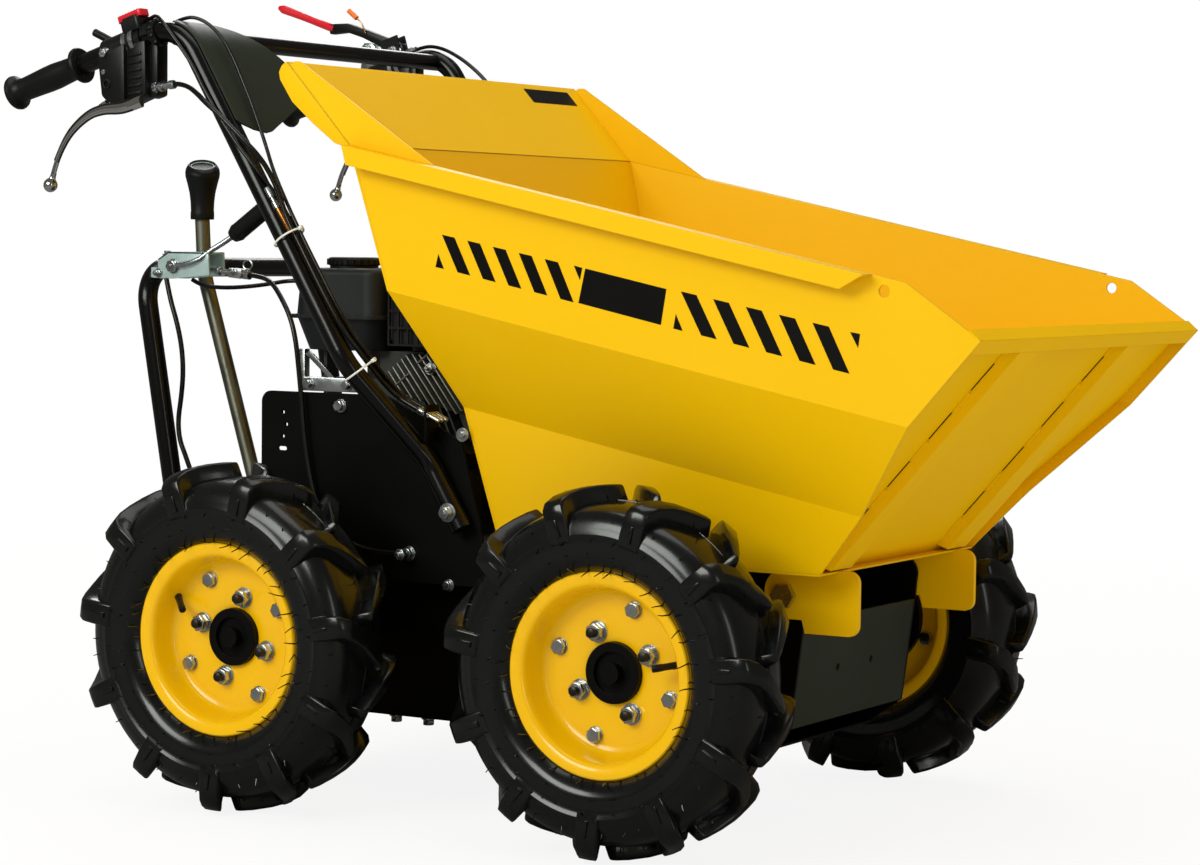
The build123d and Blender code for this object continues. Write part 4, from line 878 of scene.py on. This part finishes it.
def lever_mesh():
    bm = tube(lever_line, blade_half, 16, flat=0.55, up=(0, 1, 0))
    tube([p + Vector((0, -2.6, 0)) for p in lever_line[4:-6]], lambda t: 2.6 - t, 10, bm)
    return lathe([(AXIS, -9), (3, -8.6), (6.2, -6.6), (8.4, -3.2), (9, 0), (8.4, 3.2), (6.2, 6.6),
                  (4.4, 8.2), (3.6, 12), (3.6, 16)], 28, aim((BALL_X, -LEVER_Y, BALL_Z), (13, 0, 34)), bm)


bm, edges = bmesh.new(), bmesh.new()
for side in (-1, 1):
    for sign in (-1, 1):
        join(edges, blade_reflection_rod(sign), flipped(side))
    join(bm, lever_mesh(), flipped(side))
piece("hand_lever_blades", bm, "chrome", 40, replaces="hand_levers")
# the edge rods in dark steel are painted dark reflections on the chrome blades
piece("hand_lever_dark_reflections", edges, "chrome", 40, material=dark_steel)

# shield: a thin sheet that follows the bend and reaches down in front of the right leg
LEG_DOWN = Vector((HANDLE_RAKE, 0, -1)).normalized()
LEG_FRONT = Vector((1, 0, HANDLE_RAKE)).normalized()
TUBE_BEND, SHIELD_BEND, SHIELD_SHEET = 55, 68, 2.4  # radii of tube and shield, and its thickness
SHIELD_STEPS, SHIELD_ROWS = 18, 4  # down the sheet, and between two places of its edges
bend_centre = (Vector((BEND_X, 0, BEND_Z))
               - (LEG_FRONT + TUBE_UP) * (TUBE_BEND / (1 + LEG_FRONT.dot(TUBE_UP))))


def shield_point(reach, y, proud):
    """A point of the shield: reach is 0 where the bend ends, more down the leg, less round it."""
    a = max(0, -reach) / SHIELD_BEND
    out = (LEG_FRONT * cos(a) - LEG_DOWN * sin(a)) * (SHIELD_BEND + proud)
    return bend_centre + out + LEG_DOWN * max(0, reach) + Vector((0, y, 0))


SHIELD_EDGES = [  # (y, reach of the top edge, reach of the lower edge) from the right end
    (-289, -53, 106), (-284, -53.4, 111), (-262, -53, 119), (-240, -52, 122.6), (-226, -50, 119.5),
    (-215, -46, 114), (-190, -31, 102), (-160, -11, 87), (-137, 7, 75), (-122, 22, 66), (-117, 30, 58)]
rows = []
for start, end in zip(SHIELD_EDGES, SHIELD_EDGES[1:]):
    last = end == SHIELD_EDGES[-1]
    for k in range(SHIELD_ROWS + last):
        y, top, low = Vector(start).lerp(Vector(end), k / SHIELD_ROWS)
        reach = [top + (low - top) * j / SHIELD_STEPS for j in range(SHIELD_STEPS + 1)]
        rows.append([shield_point(r, y, SHIELD_SHEET) for r in reach]
                    + [shield_point(r, y, 0) for r in reversed(reach)])
bm = bmesh.new()
grid(bm, rows, closed_columns=True, caps=True)
piece("shield_sheet", outward(bm), "plate_grey", 40, replaces="handle_shield")

# stop switch
SWITCH_X, COLLAR_X = -465, -432
switch = aim((SWITCH_X, -HANDLE_Y, grip_z(SWITCH_X)), TUBE_UP, -REARWARD)
bm = prism(rounded(29, 27, 4), 16, switch @ moved(0, 0, 11), 1.2)
prism(rounded(24, 23, 3), 8, switch @ moved(0, 0, 22), 1, bm)
lathe([(TUBE_FIT, 0), (15.4, 0), (15.4, 20), (TUBE_FIT, 20)], 40, on_grip(SWITCH_X + 10), bm)
for x, y in circle(16, 10):
    box((4, 4, 8), (x, y, 5), 1, bm, on_grip(COLLAR_X))
lathe([(TUBE_FIT, 0), (15.6, 0), (15.6, 10), (TUBE_FIT, 10)], 40, on_grip(COLLAR_X), bm)
piece("stop_switch_body", bm, "plastic_black", replaces="stop_switch")
bm = prism(rounded(38, 19, 4), 8.5, switch @ moved(-1, 0, 27), 1.4)
for k in range(7):
    box((1.8, 17, 1.6), (-15 + 4.7 * k, 0, 35.6), 0.5, bm, switch, 1)
piece("stop_rocker_cap", bm, "plastic_red", replaces="stop_rocker")

# clutch lever on the left
CLUTCH_Y, PIN_Y = 291, 280
bm = prism([(-594, 993), (-562, 993), (-536, 985), (-468, 962), (-464, 950), (-488, 951), (-536, 972),
            (-562, 980), (-592, 978)], 14, flipped(1) @ side_view(CLUTCH_Y - 7), 2)
piece("clutch_lever_body", bm, "plastic_black")
line = [(x, CLUTCH_Y, z) for x, z in ((-586, 986), (-612, 994), (-650, 1007), (-684, 1018.5))]
bm = tube(smooth_path(line, 6),
          lambda t: 8.6 - 1.4 * sin(pi * min(1, t * 1.1)) - (3.5 if t > 0.98 else 0), 20, flat=0.75)
piece("clutch_lever_grip", bm, "plastic_red", 40, replaces="clutch_lever")
bm = bmesh.new()
for x, low, high in ((-522, 924, 964), (-478, 936, 960)):
    for y in (CLUTCH_Y - 10.5, CLUTCH_Y + 8):
        prism([(x - 14, low), (x + 14, low + 6), (x + 11, high - 6), (x + 5, high), (x - 8, high)], 2.5,
              flipped(1) @ side_view(y), 0.6, bm)
    hex_head(bm, flipped(1) @ side_spot(x - 2, high - 8, CLUTCH_Y - 11) @ Matrix.Rotation(pi, 4, "X"),
             10, 5, washer=13)
lathe([(16.2, 0), (17, 0.4), (17, 26), (16.2, 26.4), (TUBE_FIT, 26.4), (TUBE_FIT, 0)], 40,
      on_grip(-509, HANDLE_Y), bm)
solid([(5, 0), (5, 8), (3.6, 8.6), (3.6, 15)], 20, aim((-462, CLUTCH_Y, 950), (1, 0, 0.32)), bm)
piece("clutch_fittings", bm, "zinc")
pin = [(-556, PIN_Y, 1010), (-542, PIN_Y, 999)]
piece("clutch_lock_pin", tube(pin, 3.6, 14), "plastic_red", 40, material=orange_plastic)
bm = tube(smooth_path([pin[1], (-534, PIN_Y, 992), (-528, PIN_Y + 2, 978)], 3), 1.1, 8)
piece("clutch_lock_wire", bm, "zinc", 40, material=brass)

# white ties round the right leg and its cables, and an adjuster lying along them
bm = bmesh.new()
for centre, along, (wide, high) in (((-233, -286, 690), (HANDLE_RAKE, 0, -1), (21, 16)),
                                    ((-134, -276, 534), (0.5, 0.33, -0.8), (23, 19))):
    spot = aim(centre, along, (1, 0, 0.6))
    tube(ellipse(spot, wide, high, 40), 1.3, 8, bm, caps=False)
    box((5, 6, 4.5), (wide + 1, 2, 0), 0.8, bm, spot)
    tube([spot @ Vector((wide + 1, 2, 0)), spot @ Vector((wide + 6, 8, 2))], 0.9, 8, bm)
piece("cable_ties", bm, "zinc", 50, material=tie_white)
adjuster = aim((-264, -290, 749), (38, 0, -56))
bm = solid([(3.6, 0), (4.2, 1), (4.2, 14), (3, 15), (3, 20), (4.6, 21), (4.6, 30)], 20, adjuster)
piece("cable_adjuster", bm, "zinc")
bm = solid([(3.4, 30), (3.4, 64), (2.6, 66)], 20, adjuster)
piece("cable_adjuster_sleeve", bm, "zinc", material=brass)

# ---- hoop and gear lever
GEAR_X, GEAR_Y, KNOB_FOOT = -501, -115, 712
KNOB_SLANT, SLANT_FROM, KNOB_TOP = 0.4, 48, 73.6
RING_RADIUS, RING_HEIGHT = 14.6, 68.6
TO_DRIVER_SIDE = Vector((0.62, -0.78, 0))
bm = solid([(14.6, 0), (15.2, 1.4), (15.2, 9), (14.8, 11), (15.2, 22), (16.6, 34), (19.4, 46), (21.9, 56),
            (22.3, 62), (21.6, 67), (19.6, 71), (18.2, 72.6), (17.4, 73.6), (16.4, 73.4), (15.8, 71.6),
            (13, 70.8)], 64)
for v in bm.verts:
    share = max(0, (v.co.z - SLANT_FROM) / (KNOB_TOP - SLANT_FROM))
    v.co.z -= KNOB_SLANT * share * v.co.dot(TO_DRIVER_SIDE) + 3 * share
bmesh.ops.transform(bm, matrix=moved(GEAR_X, GEAR_Y, KNOB_FOOT), verts=bm.verts)
piece("gear_knob_grip", bm, "plastic_black", material=grip_rubber, replaces="gear_knob")
# a thin light ring round the rim of the knob's concave top: a painted highlight
ring = []
for spoke in ellipse(Matrix.Identity(4), RING_RADIUS, RING_RADIUS, 48):
    drop = KNOB_SLANT * 0.9 * spoke.dot(TO_DRIVER_SIDE)
    ring.append(spoke + Vector((GEAR_X, GEAR_Y, KNOB_FOOT + RING_HEIGHT - drop)))
piece("gear_knob_highlight_ring", tube(ring, 0.9, 8), "zinc", 50, material=plated)

# the channel on the hoop's corner, with the small locking lever and its pull rod
BRACKET_FACE, BRACKET_WIDTH, BRACKET_SHEET = 184, 34, 3
ROD_Y, ROD_LINE = -167, Vector((89, 0, -8))
CHEEK = [(-518, 661), (-502, 670.5), (-437, 670.5), (-435, 641), (-495, 636), (-506, 636), (-529, 637),
         (-529, 650), (-518, 650)]
CHANNEL_TOP = CHEEK[:3] + [(-437, 667.5), (-501, 667.5), (-516.6, 658.4)]
bm = bmesh.new()
for face in (BRACKET_FACE, BRACKET_FACE - BRACKET_WIDTH + BRACKET_SHEET):
    prism(CHEEK, -BRACKET_SHEET, side_view(face), 0.7, bm)
prism(CHANNEL_TOP, -BRACKET_WIDTH, side_view(BRACKET_FACE), 0.7, bm)
piece("hoop_channel", bm, "zinc", material=plated, replaces="hoop_bracket")
rod_end = Vector((-470, ROD_Y, 650))
bm = tube([(-492, -188, 652), (-474, -188, 654), (-462, -187.5, 656.5), (-448, -185, 662),
           (-436, -178, 673), (-424, -170, 682), (-409.6, ROD_Y, 691.3)], 3.5, 16)
tube(ellipse(side_spot(-387, 655, -ROD_Y), 7, 6, 24), 1.1, 8, bm)
tube([rod_end, rod_end + ROD_LINE.normalized() * 60], 3, 16, bm)
lathe([(AXIS, 54), (5.4, 54), (6, 55), (6, 62), (4.6, 64), (4.6, 72), (6, 74), (6, 87), (AXIS, 88)], 20,
      aim(rod_end, ROD_LINE), bm)
piece("lock_rods", bm, "zinc")
bm = bmesh.new()
for x, z, across in ((-492, 652, 14), (-516, 643, 7)):
    hex_head(bm, side_spot(x, z, BRACKET_FACE), across, 6, washer=across + 5, stud=(5, 3))
hex_head(bm, moved(-516, ROD_Y, 665.8), 8, 4, washer=13)
fork = aim((-412, ROD_Y, 645), ROD_LINE, (0, 1, 0))
for x in (6.4, -6.4):
    box((3, 12, 20), (x, 0, 10), 1, bm, fork)
hex_head(bm, side_spot(-405, 646, 174), 8, 4, stud=(4, 2))
hex_head(bm, aim((-436, ROD_Y, 647), ROD_LINE), 10, 6)
piece("hoop_bracket_bolts", bm, "zinc")

# ---- engine
cap = moved(-310, -45, 652)
bm = lathe([(AXIS, 0), (31, 0), (31, 3), (33, 4), (33.4, 11), (31.6, 13.4), (28, 14), (AXIS, 13)], 72, cap)
for x, y in circle(33.2, 26):
    box((2.6, 4.4, 8), (x, y, 8), 0.8, bm, cap, 1)
piece("fuel_cap_knurled", bm, "plastic_black", replaces="fuel_cap")

bm = prism([(-377, 494), (-278, 494), (-278, 512), (-368, 512), (-368, 548), (-377, 548)], 12,
           side_view(60), 1.2)
prism([(-368, 541), (-362, 546), (-322, 512), (-330, 510)], 4, side_view(66), 0.6, bm)
for x in (-360, -300):
    hex_head(bm, side_spot(x, 503, 72), 10, 5, washer=16)
piece("tank_bracket", bm, "zinc")
bm = bmesh.new()
cylinder = aim((-265, 0, 425), (cos(radians(25)), 0, sin(radians(25))), (0, -1, 0))
for y in (40, -40, 0):
    hex_head(bm, cylinder @ moved(44, y, 156), 12, 7, washer=18)
hex_head(bm, aim((-171, -73, 528), (0.1, -1, 0.1)), 11, 7, washer=16, stud=(6, 6))
piece("engine_bolts", bm, "zinc")

# fins on the right of the cylinder, across its axis, and two bars across them
CASE_TOP, FIN_PITCH, FIN_SHEET, FIN_WIDTH = 545, 8.4, 2.2, 26
FIRST_FIN = Vector((-243, -75, 518))
LONGEST_FIN = 106
across, down = Vector((0.788, 0, 0.616)), Vector((0.616, 0, -0.788))
bm = bmesh.new()
for k in range(10):
    reach = FIN_PITCH * k
    top = max(0, (FIRST_FIN.z + across.z * reach - CASE_TOP) / -down.z)
    foot = min(28 + 1.3 * reach, LONGEST_FIN)
    corner = FIRST_FIN + across * reach + down * top
    view = aim(corner + Vector((0, FIN_WIDTH, 0)), (0, -1, 0), across)
    prism([(0, 0), (FIN_SHEET, 0), (FIN_SHEET, top - foot), (0, top - foot)], FIN_WIDTH, view, 0.7, bm)
for reach, drop, length in ((4, 22, 30), (52, 20, 20)):
    start = FIRST_FIN + across * reach + down * drop
    tube([start, start + across * length], 1.3, 8, bm)
piece("engine_fins", bm, "engine_metal", material=fin_alloy)

# ---- frame
# stop plates with the cables' threaded barrels, and the anchor and ferrule of the others
SIDE_PLATE = 202  # outer face of a side plate
STOP_X, STOP_Z = -72, 481
STOP_AIM = Vector((0.92, 0, -0.39)).normalized()
STOP_OUTLINE = [(STOP_X + x, STOP_Z + z) for x, z in ((-1.5, -33), (1.5, -33), (1.5, 11), (-1.5, 11))]
plates, barrels = bmesh.new(), bmesh.new()
for side, places in ((-1, (209, 217.5, 226)), (1, (217.5,))):
    prism(STOP_OUTLINE, 29, flipped(side) @ side_view(SIDE_PLATE), 0.8, plates)
    for y in places:
        spot = flipped(side) @ aim(Vector((STOP_X, -y, STOP_Z)) - STOP_AIM * 14, STOP_AIM)
        lathe([(AXIS, 0), (3.2, 0), (3.8, 1), (3.8, 9), (3.2, 10), (3.2, 33), (AXIS, 34)], 20, spot, barrels)
        for height in (9.5, 16):
            prism(hex_outline(7.6), 3, spot @ moved(0, 0, height), 0.4, barrels)
hex_head(barrels, side_spot(-112, 310, SIDE_PLATE), 13, 7, washer=18, stud=(7, 8))
lathe([(AXIS, 0), (5, 0), (5, 10), (AXIS, 11)], 20, moved(-398, -142, 316), barrels)
piece("stop_plates", plates, "frame_black")
piece("cable_barrels", barrels, "zinc", replaces="cable_fittings")

piece("frame_ledge", box((146, 5, 3), (-118, -153, 277), 0.8), "frame_black", material=black_paint)
bm = bmesh.new()
for side in (-1, 1):
    mirror = flipped(side)
    hex_head(bm, mirror @ side_spot(-215.4, 485, SIDE_PLATE), 12, 7, washer=17)
    hex_head(bm, mirror @ side_spot(-54, 275, SIDE_PLATE), 10, 6, washer=15)
    hex_head(bm, mirror @ side_spot(BOLT_X, BOLT_Z, SIDE_PLATE + 25.6), 14, 8, washer=23, stud=(8, 2))
    hex_head(bm, mirror @ side_spot(-34, 457, SIDE_PLATE + 4), 8, 3, washer=17)
hex_head(bm, side_spot(-112, 310, SIDE_PLATE + 14), 13, 8, stud=(7, 6))
for x in (-171, -123):
    for y in (-142, 142):
        hex_head(bm, aim((x, y, 101), (0, 0, -1)), 13, 7, washer=18)
piece("frame_bolts", bm, "zinc")
